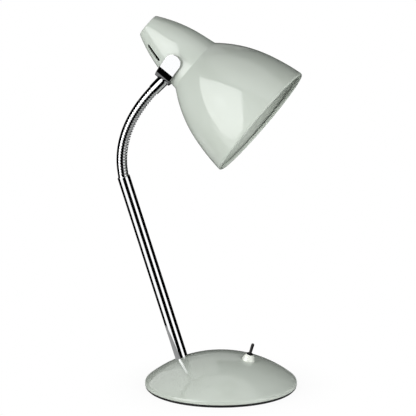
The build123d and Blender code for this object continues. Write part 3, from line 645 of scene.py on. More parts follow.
@dataclass(frozen=True)
class Moulded(Finish):
    """Moulded plastic or rubber: an even colour whose fine mould texture softens its gloss."""

    colour: str
    shade: str
    roughness: float
    texture: float
    depth: float
    ior: float

    def dress(self, tree: bpy.types.NodeTree, place: bpy.types.NodeSocket) -> dict[str, Any]:
        """Mould texture as bump, with a colour that drifts a little.

        Args:
            tree: the material's node tree.
            place: the place on the object in metres.

        Returns:
            What each of the shader's inputs takes.
        """
        grain = mottle(tree, place, self.texture, detail=3.0)
        return {"Base Color": blend_of(tree, grain, (0.35, self.shade), (0.65, self.colour)),
                "Normal": relief(tree, grain, self.depth),
                "Roughness": self.roughness, "IOR": self.ior}


@dataclass(frozen=True)
class FrostedGlass(Finish):
    """Bulb glass frosted inside with white silica: smooth, milky, and light passes softly."""

    colour: str = "f4f4ef"
    fleck: str = "efefe8"
    powder: float = 0.8
    roughness: float = 0.16
    ior: float = 1.5
    clearness: float = 0.25

    def dress(self, tree: bpy.types.NodeTree, place: bpy.types.NodeSocket) -> dict[str, Any]:
        """Milky body under a smooth skin, with the powder's faint mottle.

        Args:
            tree: the material's node tree.
            place: the place on the object in metres.

        Returns:
            What each of the shader's inputs takes.
        """
        powder = mottle(tree, place, self.powder, detail=2.0)
        return {"Base Color": blend_of(tree, powder, (0.3, self.fleck), (0.7, self.colour)),
                "Roughness": self.roughness, "IOR": self.ior,
                "Transmission Weight": self.clearness}


FINISHES: dict[str, Finish] = {
    "enamel": StoveEnamel("stove_enamel"),
    "chrome": ChromePlate("chrome_plate"),
    # As-cast grey iron: dark, sooty and pitted.
    "iron": WorkedMetal("cast_iron", colour="4a4a4c", stain="2e2d2d", roughness=(0.55, 0.8),
                        grain=1.2, depth=0.08),
    # Black lacquer on steel: a thin satin coat.
    "black_steel": WorkedMetal("black_lacquer", colour="0b0b0c", stain="070707",
                               roughness=(0.5, 0.62), grain=0.9, depth=0.006, metallic=0.0),
    # Moulded rubber sheet: matt, with a close grain.
    "pad_rubber": Moulded("moulded_rubber", colour="0c0c0c", shade="070707", roughness=0.8,
                          texture=0.7, depth=0.02, ior=1.5),
    # Grommet rubber: black and smooth, with a dull bloom.
    "rubber": Moulded("grommet_rubber", colour="1c1c1d", shade="121213", roughness=0.55,
                      texture=0.5, depth=0.006, ior=1.5),
    # Zinc plate: bluish grey, with a cloudy lustre.
    "plated_steel": WorkedMetal("zinc_plate", colour="c4c7ca", stain="a3a7ab",
                                roughness=(0.25, 0.4), grain=1.0, depth=0.002),
    # Satin nickel: warm and pale, and bead-blasted to a soft sheen.
    "nickel_nut": WorkedMetal("satin_nickel", colour="eef0e9", stain="d3d8cf",
                              roughness=(0.4, 0.55), grain=0.8, depth=0.006, metallic=0.35),
    # ABS: black, with a satin gloss from the mould.
    "black_plastic": Moulded("satin_black_abs", colour="0a0a0b", shade="060606", roughness=0.45,
                             texture=0.6, depth=0.001, ior=1.5),
    # Phenolic: dense and brown-black, with a dull polish.
    "phenolic": Moulded("phenolic_moulding", colour="241e1c", shade="191513", roughness=0.38,
                        texture=0.9, depth=0.004, ior=1.6),
    # PVC sheath: white, soft and slightly waxy.
    "lead_sheath": Moulded("pvc_sheath", colour="dcdcd6", shade="d2d2cb", roughness=0.4,
                           texture=0.8, depth=0.003, ior=1.54),
    # Rolled brass: yellow, with drawing marks.
    "brass": WorkedMetal("rolled_brass", colour="d8b061", stain="b98f45", roughness=(0.2, 0.35),
                         grain=0.8, depth=0.002),
    # Natural nylon: milky and waxy.
    "nylon": Moulded("natural_nylon", colour="e8e6dc", shade="dfdccf", roughness=0.35,
                     texture=0.7, depth=0.002, ior=1.53),
    # Rolled aluminium: pale, with a dull roll finish.
    "cap_aluminium": WorkedMetal("rolled_aluminium", colour="cfd1d3", stain="b4b6b9",
                                 roughness=(0.25, 0.4), grain=0.6, depth=0.003),
    # Glazed porcelain: white and glassy over a fine body.
    "porcelain": Moulded("glazed_porcelain", colour="f1efe6", shade="e9e6dc", roughness=0.12,
                         texture=1.5, depth=0.002, ior=1.5),
    "frosted_glass": FrostedGlass("frosted_bulb_glass"),
}


class Dresser:
    """Makes each finish once, dresses the CAD nodes that stay in view and makes the new pieces."""

    def __init__(self) -> None:
        """Make the materials."""
        self.materials = {slot: finish.material() for slot, finish in FINISHES.items()}

    def dress_nodes(self) -> None:
        """Give each CAD node the material of its slot in the record."""
        for subpart in frame["record"]["subparts"]:
            node = frame["nodes"][subpart["node"]]
            node.data.materials.clear()
            node.data.materials.append(self.materials[subpart["material_slot"]])
        log.info("dressed %d nodes", len(frame["nodes"]))

    def make(self, name: str, patch: Patch, slot: str, sharp: float = 35.0) -> bpy.types.Object:
        """Closed mesh object of a patch, smooth but for its sharp edges.

        Args:
            name: the object's name.
            patch: the closed surface, whose seams and poles are doubled points.
            slot: the record's material slot that it takes its finish from.
            sharp: angle between faces from which an edge shades sharp.

        Returns:
            The new object, at the origin and in the scene.
        """
        mesh = bpy.data.meshes.new(name)
        mesh.from_pydata((patch.points * MM).tolist(), [], patch.quads.tolist())
        work = bmesh.new()
        work.from_mesh(mesh)
        bmesh.ops.remove_doubles(work, verts=work.verts, dist=WELD_METRES)
        bmesh.ops.dissolve_degenerate(work, edges=work.edges, dist=SPECK_METRES)
        bmesh.ops.recalc_face_normals(work, faces=work.faces)
        work.to_mesh(mesh)
        work.free()
        mesh.polygons.foreach_set("use_smooth", np.ones(len(mesh.polygons), bool))
        mesh.set_sharp_from_angle(angle=math.radians(sharp))
        mesh.materials.append(self.materials[slot])
        piece = bpy.data.objects.new(name, mesh)
        bpy.context.scene.collection.objects.link(piece)
        log.info("%s: %d faces", name, len(mesh.polygons))
        return piece


# ---------------------------------------------------------------- the lamp
@dataclass
class Base:
    """The domed foot with its plate and pad."""

    radius: float = 76.0
    apex: float = 34.0
    rim: float = 3.0
    lip: float = 1.5
    shoulder: float = 4.0
    wall: float = 1.2
    pad_thickness: float = 1.0
    pad_setback: float = 1.5
    pad_roundings: tuple[float, float] = (0.35, 0.15)
    plate_setback: float = 0.5
    plate_rounding: float = 0.3
    cord_angle: float = 122.0
    cord_height: float = 8.0
    cord_hole: tuple[float, float] = (5.4, 4.0)
    columns: int = 144

    def __post_init__(self) -> None:
        """Work out the dome's sphere, which touches the shoulder's arc and passes the apex."""
        middle = self.radius - self.shoulder
        rise = self.apex - self.rim - self.lip
        self.dome_radius = (middle**2 + rise**2 - self.shoulder**2) / (2 * (rise - self.shoulder))
        self.dome_middle = self.apex - self.dome_radius

    def dome_height(self, x: float, y: float) -> float:
        """Height of the dome's outer skin above a point of the ground plan."""
        return self.dome_middle + math.sqrt(self.dome_radius**2 - x**2 - y**2)

    def dome(self) -> Patch:
        """Dome of two arcs, the shoulder's and the sphere's, that touch, pierced for the cord.

        Returns:
            The dome's wall.
        """
        middle = (self.radius - self.shoulder, self.rim + self.lip)
        meeting = heading_of(np.array([middle[0], middle[1] - self.dome_middle]))
        section = np.concatenate([
            [[self.radius, self.rim]],
            arc(middle, self.shoulder, 0, meeting, step=3),
            arc((0, self.dome_middle), self.dome_radius, meeting, 90, step=0.5),
        ])
        hole = Hole(self.cord_angle, self.cord_height, *self.cord_hole)
        return Wall(section, self.wall, UPRIGHT, (hole,), columns=self.columns).patch()

    def disc(self, edge: float, low: float, high: float, roundings: tuple[float, float]) -> Patch:
        """Disc with rounded edges.

        Args:
            edge: the disc's radius.
            low: height of its underside.
            high: height of its top.
            roundings: of the lower and the upper edge.

        Returns:
            The disc.
        """
        section = rounded((0, low, 0), (edge, low, roundings[0]), (edge, high, roundings[1]),
                          (0, high, 0), closed=False)
        return lathe(section, UPRIGHT, closed=False, columns=self.columns)

    def build(self, dresser: Dresser) -> None:
        """Make the dome, the plate and the pad.

        Args:
            dresser: maker of the pieces.
        """
        shell = dresser.make("enamelled_dome", self.dome(), "enamel")
        stand_for(shell, "lamp_base", "base_shell")
        plate = self.disc(self.radius - self.plate_setback, self.pad_thickness, self.rim,
                          (self.plate_rounding, self.plate_rounding))
        stand_for(dresser.make("lacquered_plate", plate, "black_steel"), "lamp_base", "base_plate")
        pad = self.disc(self.radius - self.pad_setback, 0, self.pad_thickness, self.pad_roundings)
        stand_for(dresser.make("rubber_pad", pad, "pad_rubber"), "lamp_base", "foot_pad")


@dataclass
class Switch:
    """What shows of the toggle switch: a knurled cone nut, a collar and the lever."""

    base: Base
    x: float = 28.8
    nut_radii: tuple[float, float] = (6.4, 3.6)
    nut_height: float = 6.5
    nut_foot: float = 0.8
    nut_bore: float = 3.0
    nut_sunk: float = 1.0
    nut_bulge: float = 0.5
    nut_edge: float = 0.3
    nut_edge_middle: tuple[float, float] = (0.08, 0.12)
    nut_rows: int = 34
    teeth: int = 18
    tooth_points: int = 8
    tooth_depth: float = 0.32
    tooth_winds: float = 4.2
    tooth_fade: float = 0.08
    foot_gap: float = 0.05
    collar_radius: float = 3.3
    collar_bore: float = 2.2
    collar_height: float = 1.0
    collar_roundings: tuple[float, float, float] = (0.1, 0.3, 0.25)
    lever_length: float = 10.4
    lever_radii: tuple[float, float] = (1.4, 1.6)
    lever_tilt: float = -12.0
    ball_radius: float = 2.1
    tail_length: float = 4.0
    tail_radius: float = 0.9
    tail_rounding: float = 0.3

    def __post_init__(self) -> None:
        """Stand the switch square on the dome."""
        foot = np.array([self.x, 0, self.base.dome_height(self.x, 0)])
        lean = math.degrees(math.asin(self.x / self.base.dome_radius))
        self.axes = Axes.along(foot, ray(90 - lean))

    def nut(self) -> Patch:
        """Cone nut with diamond knurling.

        The radius falls from foot to top in a slightly bulging line. The knurling takes off tooth
        depth times the mean of two triangle waves that wind up the cone, one each way, fading out
        at the plain foot and at the top.

        Returns:
            The nut.
        """
        foot, head = self.nut_radii
        height = np.linspace(self.nut_foot, self.nut_height - self.nut_edge, self.nut_rows)[:, None]
        count = self.teeth * self.tooth_points
        angle = np.linspace(0, 2 * math.pi, count, endpoint=False)[None, :]
        share = (height - self.nut_foot) / (self.nut_height - self.nut_foot)
        smooth = foot + (head - foot) * share + self.nut_bulge * np.sin(math.pi * share)
        phase = self.teeth * angle / (2 * math.pi)
        wind = self.tooth_winds * share
        waves = sum(np.abs(2 * ((phase + way * wind) % 1) - 1) for way in (1, -1)) / 2
        fade = np.clip(np.minimum(share, 1 - share) / self.tooth_fade, 0, 1)
        radius = smooth - self.tooth_depth * waves * fade
        below = np.array([[self.nut_bore, -self.nut_sunk], [foot, -self.nut_sunk],
                          [foot, self.nut_foot - self.foot_gap]])
        top = smooth[-1, 0]
        inwards, down = self.nut_edge_middle
        above = np.array([[top - inwards, self.nut_height - down],
                          [top - self.nut_edge, self.nut_height],
                          [self.nut_bore, self.nut_height]])
        ones = np.ones_like(angle)
        radii = np.concatenate([below[:, :1] * ones, radius, above[:, :1] * ones])
        heights = np.concatenate([below[:, 1:] * ones, height * ones, above[:, 1:] * ones])
        local = np.stack([radii * np.cos(angle), radii * np.sin(angle), heights], -1)
        return grid_patch(self.axes.place(local), wrap_rows=True)

    def collar(self) -> Patch:
        """Ring on the nut, rounded outside and at its top.

        Returns:
            The ring.
        """
        low, high = self.nut_height, self.nut_height + self.collar_height
        outside, top, inside = self.collar_roundings
        section = rounded((self.collar_bore, low, 0), (self.collar_radius, low, outside),
                          (self.collar_radius, high, top), (self.collar_bore, high, inside))
        return lathe(section, self.axes, columns=64)

    def lever(self) -> Patch:
        """Lever with a tail, a ball round the pivot, a tapering arm and a round tip.

        Returns:
            The lever, leaning sideways from the nut's axis by its tilt.
        """
        pivot = joint_point("switch_toggle")
        tilt = math.radians(self.lever_tilt)
        lateral = self.axes.y * math.cos(tilt) + self.axes.z * math.sin(tilt)
        axis = self.axes.z * math.cos(tilt) - self.axes.y * math.sin(tilt)
        high = self.nut_height + self.collar_height
        rise = float((self.axes.origin + self.axes.z * high - pivot) @ self.axes.z)
        neck, tip = self.lever_radii
        tip_middle = rise + self.lever_length - tip
        meeting = math.degrees(math.acos(neck / self.ball_radius))
        tail = math.degrees(math.acos(self.tail_radius / self.ball_radius))
        tail_end = -self.ball_radius * math.sin(math.radians(tail))
        section = np.concatenate([
            rounded((0, -self.tail_length, 0),
                    (self.tail_radius, -self.tail_length, self.tail_rounding),
                    (self.tail_radius, tail_end, 0), closed=False),
            arc((0, 0), self.ball_radius, -tail, meeting, step=8),
            arc((0, tip_middle), tip, 0, 90, step=9),
        ])
        return lathe(section, Axes(pivot, self.axes.x, lateral, axis), closed=False, columns=48)

    def build(self, dresser: Dresser) -> None:
        """Make the nut, the collar and the lever.

        Args:
            dresser: maker of the pieces.
        """
        nut = dresser.make("knurled_nut", self.nut(), "nickel_nut", sharp=50)
        stand_for(nut, "lamp_base", "switch_dress_nut")
        collar = dresser.make("collar_ring", self.collar(), "black_plastic")
        stand_for(collar, "lamp_base", "switch_collar")
        lever = dresser.make("toggle_lever", self.lever(), "black_plastic")
        stand_for(lever, "switch_toggle", "switch_lever")


@dataclass
class Stem:
    """The leaning chromed tube."""

    base: Base
    foot_x: float = -41.6
    lean: float = 18.6
    length: float = 192.6
    radius: float = 6.35
    wall: float = 1.35
    mouth_roundings: tuple[float, float] = (0.45, 0.25)
    sunk: float = 0.3
    depth: float = 16.0
    columns: int = 96
    rows: int = 24
    crowding: float = 1.5

    def __post_init__(self) -> None:
        """Stand the stem on the dome."""
        foot = np.array([self.foot_x, 0, self.base.dome_height(self.foot_x, 0)])
        heading = 90 + self.lean
        self.axes = Axes.along(foot, ray(heading))
        self.top = foot + ray(heading) * self.length

    def foot_heights(self, angle: np.ndarray) -> np.ndarray:
        """Height along the stem at which its side meets the dome.

        A point of the side at height h is at squared distance |offset|² + 2 h (offset · axis) + h²
        from the dome's middle, and the height is the larger root that makes this the dome's radius
        squared.

        Args:
            angle: angles round the stem.

        Returns:
            The height at each angle.
        """
        around = np.cos(angle)[:, None] * self.axes.x + np.sin(angle)[:, None] * self.axes.y
        offset = self.axes.origin + self.radius * around - np.array([0, 0, self.base.dome_middle])
        lift = offset @ self.axes.z
        return -lift + np.sqrt(lift**2 - (offset**2).sum(-1) + self.base.dome_radius**2)

    def tube(self) -> Patch:
        """The tube: its outside from the dome to the rounded mouth, and the bore down from there.

        The rows of the outside stand closer together near the dome, at a power of their share of
        the way.

        Returns:
            The tube.
        """
        angle = np.linspace(0, 2 * math.pi, self.columns, endpoint=False)
        bore = self.radius - self.wall
        outside, inside = self.mouth_roundings
        mouth = rounded((self.radius, 0, 0), (self.radius, self.length, outside),
                        (bore, self.length, inside), (bore, self.length - self.depth, 0),
                        closed=False)[1:]
        share = np.linspace(0, 1, self.rows)[:, None] ** self.crowding
        start = self.foot_heights(angle)[None, :] - self.sunk
        side = start + share * (mouth[0, 1] - start)
        heights = np.concatenate([side, mouth[1:, 1:] + 0 * start, start])
        radii = np.concatenate([self.radius + 0 * side, mouth[1:, :1] + 0 * start,
                                bore + 0 * start])
        local = np.stack([radii * np.cos(angle), radii * np.sin(angle), heights], -1)
        return grid_patch(self.axes.place(local), wrap_rows=True)

    def build(self, dresser: Dresser) -> None:
        """Make the tube."""
        stand_for(dresser.make("chromed_stem", self.tube(), "chrome"), "lamp_base", "stem_tube")


@dataclass
class Gooseneck:
    """The wound steel hose from the stem to the ferrule, in lengths that bend over one pivot."""

    stem: Stem
    links: int = 8
    ferrule_heading: float = 47.4
    ferrule_foot: float = 2.3
    radius: float = 5.35
    grooves: tuple[float, float] = (0.04, 0.34)
    bore: float = 3.4
    rib_pitch: float = 3.0
    steps_per_rib: int = 14
    steps_per_bore_row: int = 6
    columns: int = 56
    run_points: int = 160
    line_step: float = 0.05

    def __post_init__(self) -> None:
        """Work out the middle line.

        Between the middles of two links the line is a parabola that touches both links and has its
        control point at the pivot: (1 - t)² start + 2 t (1 - t) pivot + t² end.
        """
        bodies = ["lamp_base", *(f"neck_{i:02d}" for i in range(1, self.links + 1)), "yoke_head"]
        self.pairs = list(zip(bodies, bodies[1:]))
        pivots = np.array([joint_point(child) for _, child in self.pairs])
        end = pivots[-1] + ray(self.ferrule_heading) * self.ferrule_foot
        self.stations = np.concatenate([[self.stem.top], (pivots[:-1] + pivots[1:]) / 2, [end]])
        t = np.linspace(0, 1, self.run_points)[:, None]
        runs = [(1 - t) ** 2 * a + 2 * t * (1 - t) * p + t**2 * b
                for a, p, b in zip(self.stations, pivots, self.stations[1:])]
        line = np.concatenate([runs[0], *(run[1:] for run in runs[1:])])
        steps = np.linalg.norm(np.diff(line, axis=0), axis=1)
        distance = np.concatenate([[0], np.cumsum(steps)])
        self.distance = np.arange(0, distance[-1], self.line_step)
        self.line = np.stack([np.interp(self.distance, distance, line[:, k]) for k in range(3)], -1)
        tangent = np.gradient(self.line, self.distance, axis=0)
        self.side = np.cross(LATERAL, tangent / np.linalg.norm(tangent, axis=1, keepdims=True))
        self.marks = distance[::self.run_points - 1].tolist()

    def hose(self, low: float, high: float) -> Patch:
        """Length of hose between two distances along the middle line.

        The rib is one helix: at distance s and angle a its phase is s / pitch - a / 360°. The
        radius falls from the rib's top by the groove's depth times (2 phase - 1)², which leaves
        the rib round and the groove narrow. The groove is shallow on the outside of the bend,
        where the coils are stretched, and deep on the inside.

        Args:
            low: the length's first distance.
            high: the length's last distance.

        Returns:
            The length of hose, closed by its bore.
        """
        count = math.ceil((high - low) / self.rib_pitch * self.steps_per_rib)
        along = np.linspace(low, high, count + 1)[:, None]
        angle = np.linspace(0, 2 * math.pi, self.columns, endpoint=False)[None, :]
        phase = (along / self.rib_pitch - angle / (2 * math.pi)) % 1
        shallow, deep = self.grooves
        depth = shallow + (deep - shallow) * (1 + np.cos(angle)) / 2
        radius = self.radius - depth * (2 * phase - 1) ** 2
        inner = along[::-self.steps_per_bore_row]
        along = np.concatenate([along, inner, along[:1]])
        radius = np.concatenate([radius, np.full((len(inner) + 1, self.columns), self.bore)])
        line, side = [
            np.stack([np.interp(along[:, 0], self.distance, values[:, k]) for k in range(3)], -1)
            for values in (self.line, self.side)]
        across = (np.cos(angle)[..., None] * side[:, None, :]
                  + np.sin(angle)[..., None] * LATERAL)
        return grid_patch(line[:, None, :] + radius[..., None] * across, wrap_rows=True)

    def build(self, dresser: Dresser) -> None:
        """Make each length of hose where it lies at rest, and hide the CAD links that the lengths stand for.

        Args:
            dresser: maker of the pieces.
        """
        for i, (below, above) in enumerate(self.pairs):
            hose = self.hose(self.marks[i], self.marks[i + 1])
            piece = dresser.make(f"hose_length_{i + 1:02d}", hose, "chrome", sharp=60)
            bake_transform(piece)
            if i < self.links:
                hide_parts(f"gooseneck_link_{i + 1:02d}")


@dataclass
class Yoke:
    """The ferrule at the gooseneck's end and the strap that carries the shade."""

    gooseneck: Gooseneck
    heading: float = 54.0
    reach: float = 31.6
    thickness: float = 1.2
    half_width: float = 8.6
    leg: float = 4.0
    edge: float = 0.35
    edge_support: float = 1.3
    face_points: int = 9
    end_points: int = 33
    side_points: int = 121
    line_points: int = 4000
    ferrule_length: float = 19.85
    ferrule_radii: tuple[float, float] = (5.8, 6.4)
    ferrule_bore: float = 4.0
    ferrule_overlap: float = 0.28
    ferrule_rounding: float = 0.35
    ferrule_sunk: float = 0.35
    ferrule_start: float = 0.5
    ferrule_rows: int = 30
    flare: float = 5.0
    flare_share: float = 0.45

    def strap(self, pivot: np.ndarray) -> Patch:
        """Strap with round ends, bent into a U round the shade's neck.

        Flat, its face is a stadium: the points at a distance from a middle line that ends at the
        two pivots. A section over that distance goes out on one face, round the edge and back on
        the other face. The middle line is then bent: straight down one leg, round a quarter
        circle, across the bottom and up the same way.

        Args:
            pivot: the shade's pivot.

        Returns:
            The strap.
        """
        middle_bend = self.reach - self.leg - self.thickness / 2
        quarter = middle_bend * math.pi / 2
        runs = np.cumsum([0, self.leg, quarter, 2 * self.leg, quarter, self.leg])
        half = runs[-1] / 2
        out = np.linspace(0, self.half_width - 2 * self.edge, self.face_points)
        rim = arc((self.half_width - self.edge, 0), self.edge, 90, 0, step=15)
        support = self.half_width - self.edge_support * self.edge
        flat = np.concatenate([out, [support], rim[:, 0]])
        rise = np.concatenate([np.full(len(out) + 1, self.edge), rim[:, 1]])
        lift = self.thickness / 2 - self.edge + rise
        flat = np.concatenate([flat, flat[::-1]])[:, None]
        lift = np.concatenate([lift, -lift[::-1]])[:, None]
        turn = np.linspace(0, math.pi, self.end_points)
        straight = np.linspace(half, -half, self.side_points)[1:-1]
        centre = np.concatenate([np.full(len(turn), half), straight,
                                 np.full(len(turn), -half), -straight])
        heading = np.concatenate([turn - math.pi / 2, np.full(len(straight), math.pi / 2),
                                  turn + math.pi / 2, np.full(len(straight), 1.5 * math.pi)])
        along = centre + flat * np.cos(heading) + half
        across = flat * np.sin(heading)
        side, height, tilt = self.bent(along, runs, middle_bend)
        normal = lift + 0 * along
        local = np.stack([across, side + normal * np.cos(tilt), height + normal * np.sin(tilt)], -1)
        return grid_patch(Axes.along(pivot, ray(self.heading)).place(local))

    def bent(self, along: np.ndarray, runs: np.ndarray,
             radius: float) -> tuple[np.ndarray, np.ndarray, np.ndarray]:
        """Place of each point of the strap's bent middle line: the running sum of its headings.

        Args:
            along: distances from the first pivot.
            runs: distances at which legs and bends begin.
            radius: of the bends.

        Returns:
            Place across the lamp, height in the yoke and heading of the outward normal in radians.
        """
        fine = np.linspace(-self.half_width, runs[-1] + self.half_width, self.line_points)
        first = np.clip((fine - runs[1]) / radius, 0, math.pi / 2)
        second = np.clip((fine - runs[3]) / radius, 0, math.pi / 2)
        tilt = -(first + second)
        steps = np.diff(fine, prepend=fine[0])
        side = np.cumsum(np.sin(tilt) * steps) + self.reach - self.thickness / 2
        height = np.cumsum(-np.cos(tilt) * steps) + self.half_width
        return (np.interp(along, fine, side), np.interp(along, fine, height),
                np.interp(along, fine, tilt))

    def ferrule(self) -> Patch:
        """Sleeve that widens towards the yoke and sinks into the strap's face.

        Its radius grows in a straight line with the share of the way, and by a power of the share
        more steeply at its end.

        Returns:
            The sleeve.
        """
        foot, head = self.ferrule_radii
        low = self.gooseneck.ferrule_foot - self.ferrule_overlap
        high = self.ferrule_length + self.ferrule_sunk
        height = np.linspace(low + self.ferrule_start, high, self.ferrule_rows)
        share = (height - low) / (high - low)
        growth = (1 - self.flare_share) * share + self.flare_share * share**self.flare
        side = np.stack([foot + (head - foot) * growth, height], -1)
        mouth = rounded((self.ferrule_bore, high, 0), (self.ferrule_bore, low, 0),
                        (foot, low, self.ferrule_rounding), (foot, high, 0), closed=False)[:-1]
        axes = Axes.along(joint_point("yoke_head"), ray(self.gooseneck.ferrule_heading))
        return lathe(np.concatenate([mouth, side]), axes, columns=72)

    def build(self, dresser: Dresser) -> None:
        """Make the strap and the ferrule.

        Args:
            dresser: maker of the pieces.
        """
        strap = self.strap(joint_point("shade_head"))
        stand_for(dresser.make("yoke_strap", strap, "chrome", sharp=60), "yoke_head", "yoke")
        ferrule = dresser.make("flared_ferrule", self.ferrule(), "chrome")
        stand_for(ferrule, "yoke_head", "neck_ferrule")


@dataclass
class Shade:
    """The spun shade, with its cooling slots, and the lampholder and bulb inside it."""

    heading: float = -36.8
    wall: float = 0.95
    back: float = -3.8
    back_corner: float = 2.2
    pivot: float = 42.5
    crease: tuple[float, float] = (30.1, 59.0)
    crease_fillet: float = 1.5
    neck_slope: float = 8.5
    neck_straight: float = 15.0
    neck_curve: float = 150.0
    bell_slopes: tuple[float, float] = (40.0, 15.5)
    bell_radii: tuple[float, float] = (130.0, 230.0)
    rim: float = 146.0
    rim_round: float = 2.0
    hem: float = 3.0
    hem_lip: float = 2.8
    hem_corner: float = 1.0
    vent: Hole = Hole(62.0, 20.0, 10.4, 2.0)
    lead_hole: Hole = Hole(0.0, 38.0, 3.4, 3.39)
    holder_radius: float = 17.0
    holder_wall: float = 2.4
    holder_stations: tuple[float, float, float] = (7.2, 22.2, 52.2)
    shell_roundings: tuple[float, float, float] = (0.4, 1.0, 0.6)
    cap_radius: float = 12.0
    cap_brim: float = 1.5
    cap_roundings: tuple[float, float] = (1.2, 0.8)
    entry_radius: float = 5.0
    bulb_rim: float = 55.6
    globe_radius: float = 30.0
    globe_neck: float = 12.7
    globe_length: float = 80.0
    globe_root: float = 4.0
    globe_straight: float = 3.0
    globe_wall: float = 1.0

    def __post_init__(self) -> None:
        """Hang the shade on its pivot."""
        axis = ray(self.heading)
        self.axes = Axes.along(joint_point("shade_head") - axis * self.pivot, axis)

    def outline(self) -> np.ndarray:
        """Outer section from the axis at the back to the hem's free edge.

        The neck is a large arc and a straight stretch. The bell starts at the crease as one arc
        and goes on as a flatter one that touches it. Small arcs round the back, the crease and the
        rim, each touching what it joins. The hem turns in at the rim and back into the shade.

        Returns:
            The section's points as (radius, height).
        """
        crease = np.array(self.crease)
        slope = math.radians(self.neck_slope)
        along = np.array([math.sin(slope), math.cos(slope)])
        side = np.array([along[1], -along[0]])
        neck_middle = crease - along * self.neck_straight - side * self.neck_curve
        start, join = [np.array([math.cos(a), -math.sin(a)]) for a in np.radians(self.bell_slopes)]
        bell, flat = self.bell_radii
        shoulder = crease - start * bell
        skirt = shoulder + join * (bell - flat)
        to_shoulder = shoulder - crease
        height = self.crease_fillet - to_shoulder @ side
        reach = math.sqrt((bell + self.crease_fillet) ** 2 - height**2)
        crease_middle = (crease + side * self.crease_fillet
                         + along * (to_shoulder @ along - reach))
        back_middle = self.corner_middle(neck_middle, self.neck_curve, self.back_corner,
                                         self.back + self.back_corner)
        rim_middle = self.corner_middle(skirt, flat, self.rim_round, self.rim - self.rim_round)
        back_turn, neck_turn = heading_of(back_middle - neck_middle), heading_of(side)
        bell_turn, join_turn = heading_of(crease_middle - shoulder), heading_of(join)
        rim_turn = heading_of(rim_middle - skirt)
        hem_edge = rim_middle[0] + self.rim_round - self.hem
        hem_middle = (hem_edge + self.hem_corner, self.rim - self.hem_corner)
        return np.concatenate([
            [[0, self.back]],
            arc(back_middle, self.back_corner, -90, back_turn),
            arc(neck_middle, self.neck_curve, back_turn, neck_turn, step=0.4),
            arc(crease_middle, self.crease_fillet, neck_turn + 180, bell_turn + 180),
            arc(shoulder, bell, bell_turn, join_turn, step=0.4),
            arc(skirt, flat, join_turn, rim_turn, step=0.4),
            arc(rim_middle, self.rim_round, rim_turn, 90, step=5),
            arc(hem_middle, self.hem_corner, 90, 180, step=10),
            [[hem_edge, self.rim - self.hem_lip]],
        ])

    @staticmethod
    def corner_middle(middle: np.ndarray, radius: float, fillet: float,
                      height: float) -> np.ndarray:
        """Middle of a fillet at a height, inside an arc of the outline."""
        across = math.sqrt((radius - fillet) ** 2 - (height - middle[1]) ** 2)
        return np.array([middle[0] + across, height])

    def cap(self) -> Patch:
        """Lampholder's cap: a cone with a cylindrical brim, and the hole that the lead enters by.

        Returns:
            The cap.
        """
        back, brim, _ = self.holder_stations
        bore = self.holder_radius - self.holder_wall
        top, side = self.cap_roundings
        section = rounded(
            (self.entry_radius, back, 0), (self.cap_radius, back, top),
            (self.holder_radius, brim - self.cap_brim, side), (self.holder_radius, brim, 0),
            (bore, brim, 0), (self.cap_radius - self.holder_wall, back + self.holder_wall, 0),
            (self.entry_radius, back + self.holder_wall, 0))
        return lathe(section, self.axes)

    def shell(self) -> Patch:
        """Lampholder's shell: a tube with rounded ends.

        Returns:
            The shell.
        """
        _, back, front = self.holder_stations
        bore = self.holder_radius - self.holder_wall
        root, outside, inside = self.shell_roundings
        section = rounded((bore, back, 0), (self.holder_radius, back, root),
                          (self.holder_radius, front, outside), (bore, front, inside))
        return lathe(section, self.axes)

    def globe(self, inset: float) -> np.ndarray:
        """Section of the bulb's glass.

        A neck, a flare that touches it, and a globe that touches the flare.

        Args:
            inset: distance under the outer skin.

        Returns:
            The section's points as (radius, height).
        """
        neck = self.bulb_rim + self.globe_straight
        middle = self.bulb_rim + self.globe_length - self.globe_radius
        rise = middle - neck
        flare = ((self.globe_neck**2 + rise**2 - self.globe_radius**2)
                 / (2 * (self.globe_radius - self.globe_neck)))
        meeting = heading_of(np.array([self.globe_neck + flare, neck - middle]))
        return np.concatenate([
            [[self.globe_neck - inset, self.bulb_rim - self.globe_root]],
            arc((self.globe_neck + flare, neck), flare + inset, 180, 180 + meeting, step=2.5),
            arc((0, middle), self.globe_radius - inset, meeting, 90, step=3),
        ])

    def build(self, dresser: Dresser) -> None:
        """Make the shade, the lampholder's housing and the bulb's glass.

        Args:
            dresser: maker of the pieces.
        """
        holes = (self.vent, self.vent.mirrored(), self.lead_hole)
        wall = Wall(self.outline(), self.wall, self.axes, holes)
        stand_for(dresser.make("spun_shade", wall.patch(), "enamel"), "shade_head", "shade")
        cap = dresser.make("lampholder_cap", self.cap(), "phenolic")
        stand_for(cap, "shade_head", "holder_cap")
        shell = dresser.make("lampholder_shell", self.shell(), "phenolic")
        stand_for(shell, "shade_head", "holder_shell")
        section = np.concatenate([self.globe(0), self.globe(self.globe_wall)[::-1]])
        glass = dresser.make("bulb_glass", lathe(section, self.axes), "frosted_glass", sharp=60)
        stand_for(glass, "shade_head", "bulb_globe")


# ---------------------------------------------------------------- the studio
CARD_DISTANCE = 7900.0
Direction = tuple[float, float]


class Seen(Enum):
    """Whether a studio surface shows only in reflections, or only outside them."""

    IN_REFLECTIONS = "reflections"
    OTHERWISE = "otherwise"


@dataclass(frozen=True)
class Window:
    """Part of the sky round the lamp, in bearings and heights.

    A bearing is an angle to the right of the camera's, and a height an angle above the level.
    """

    name: str
    bearings: tuple[float, float]
    heights: tuple[float, float]
    strength: float


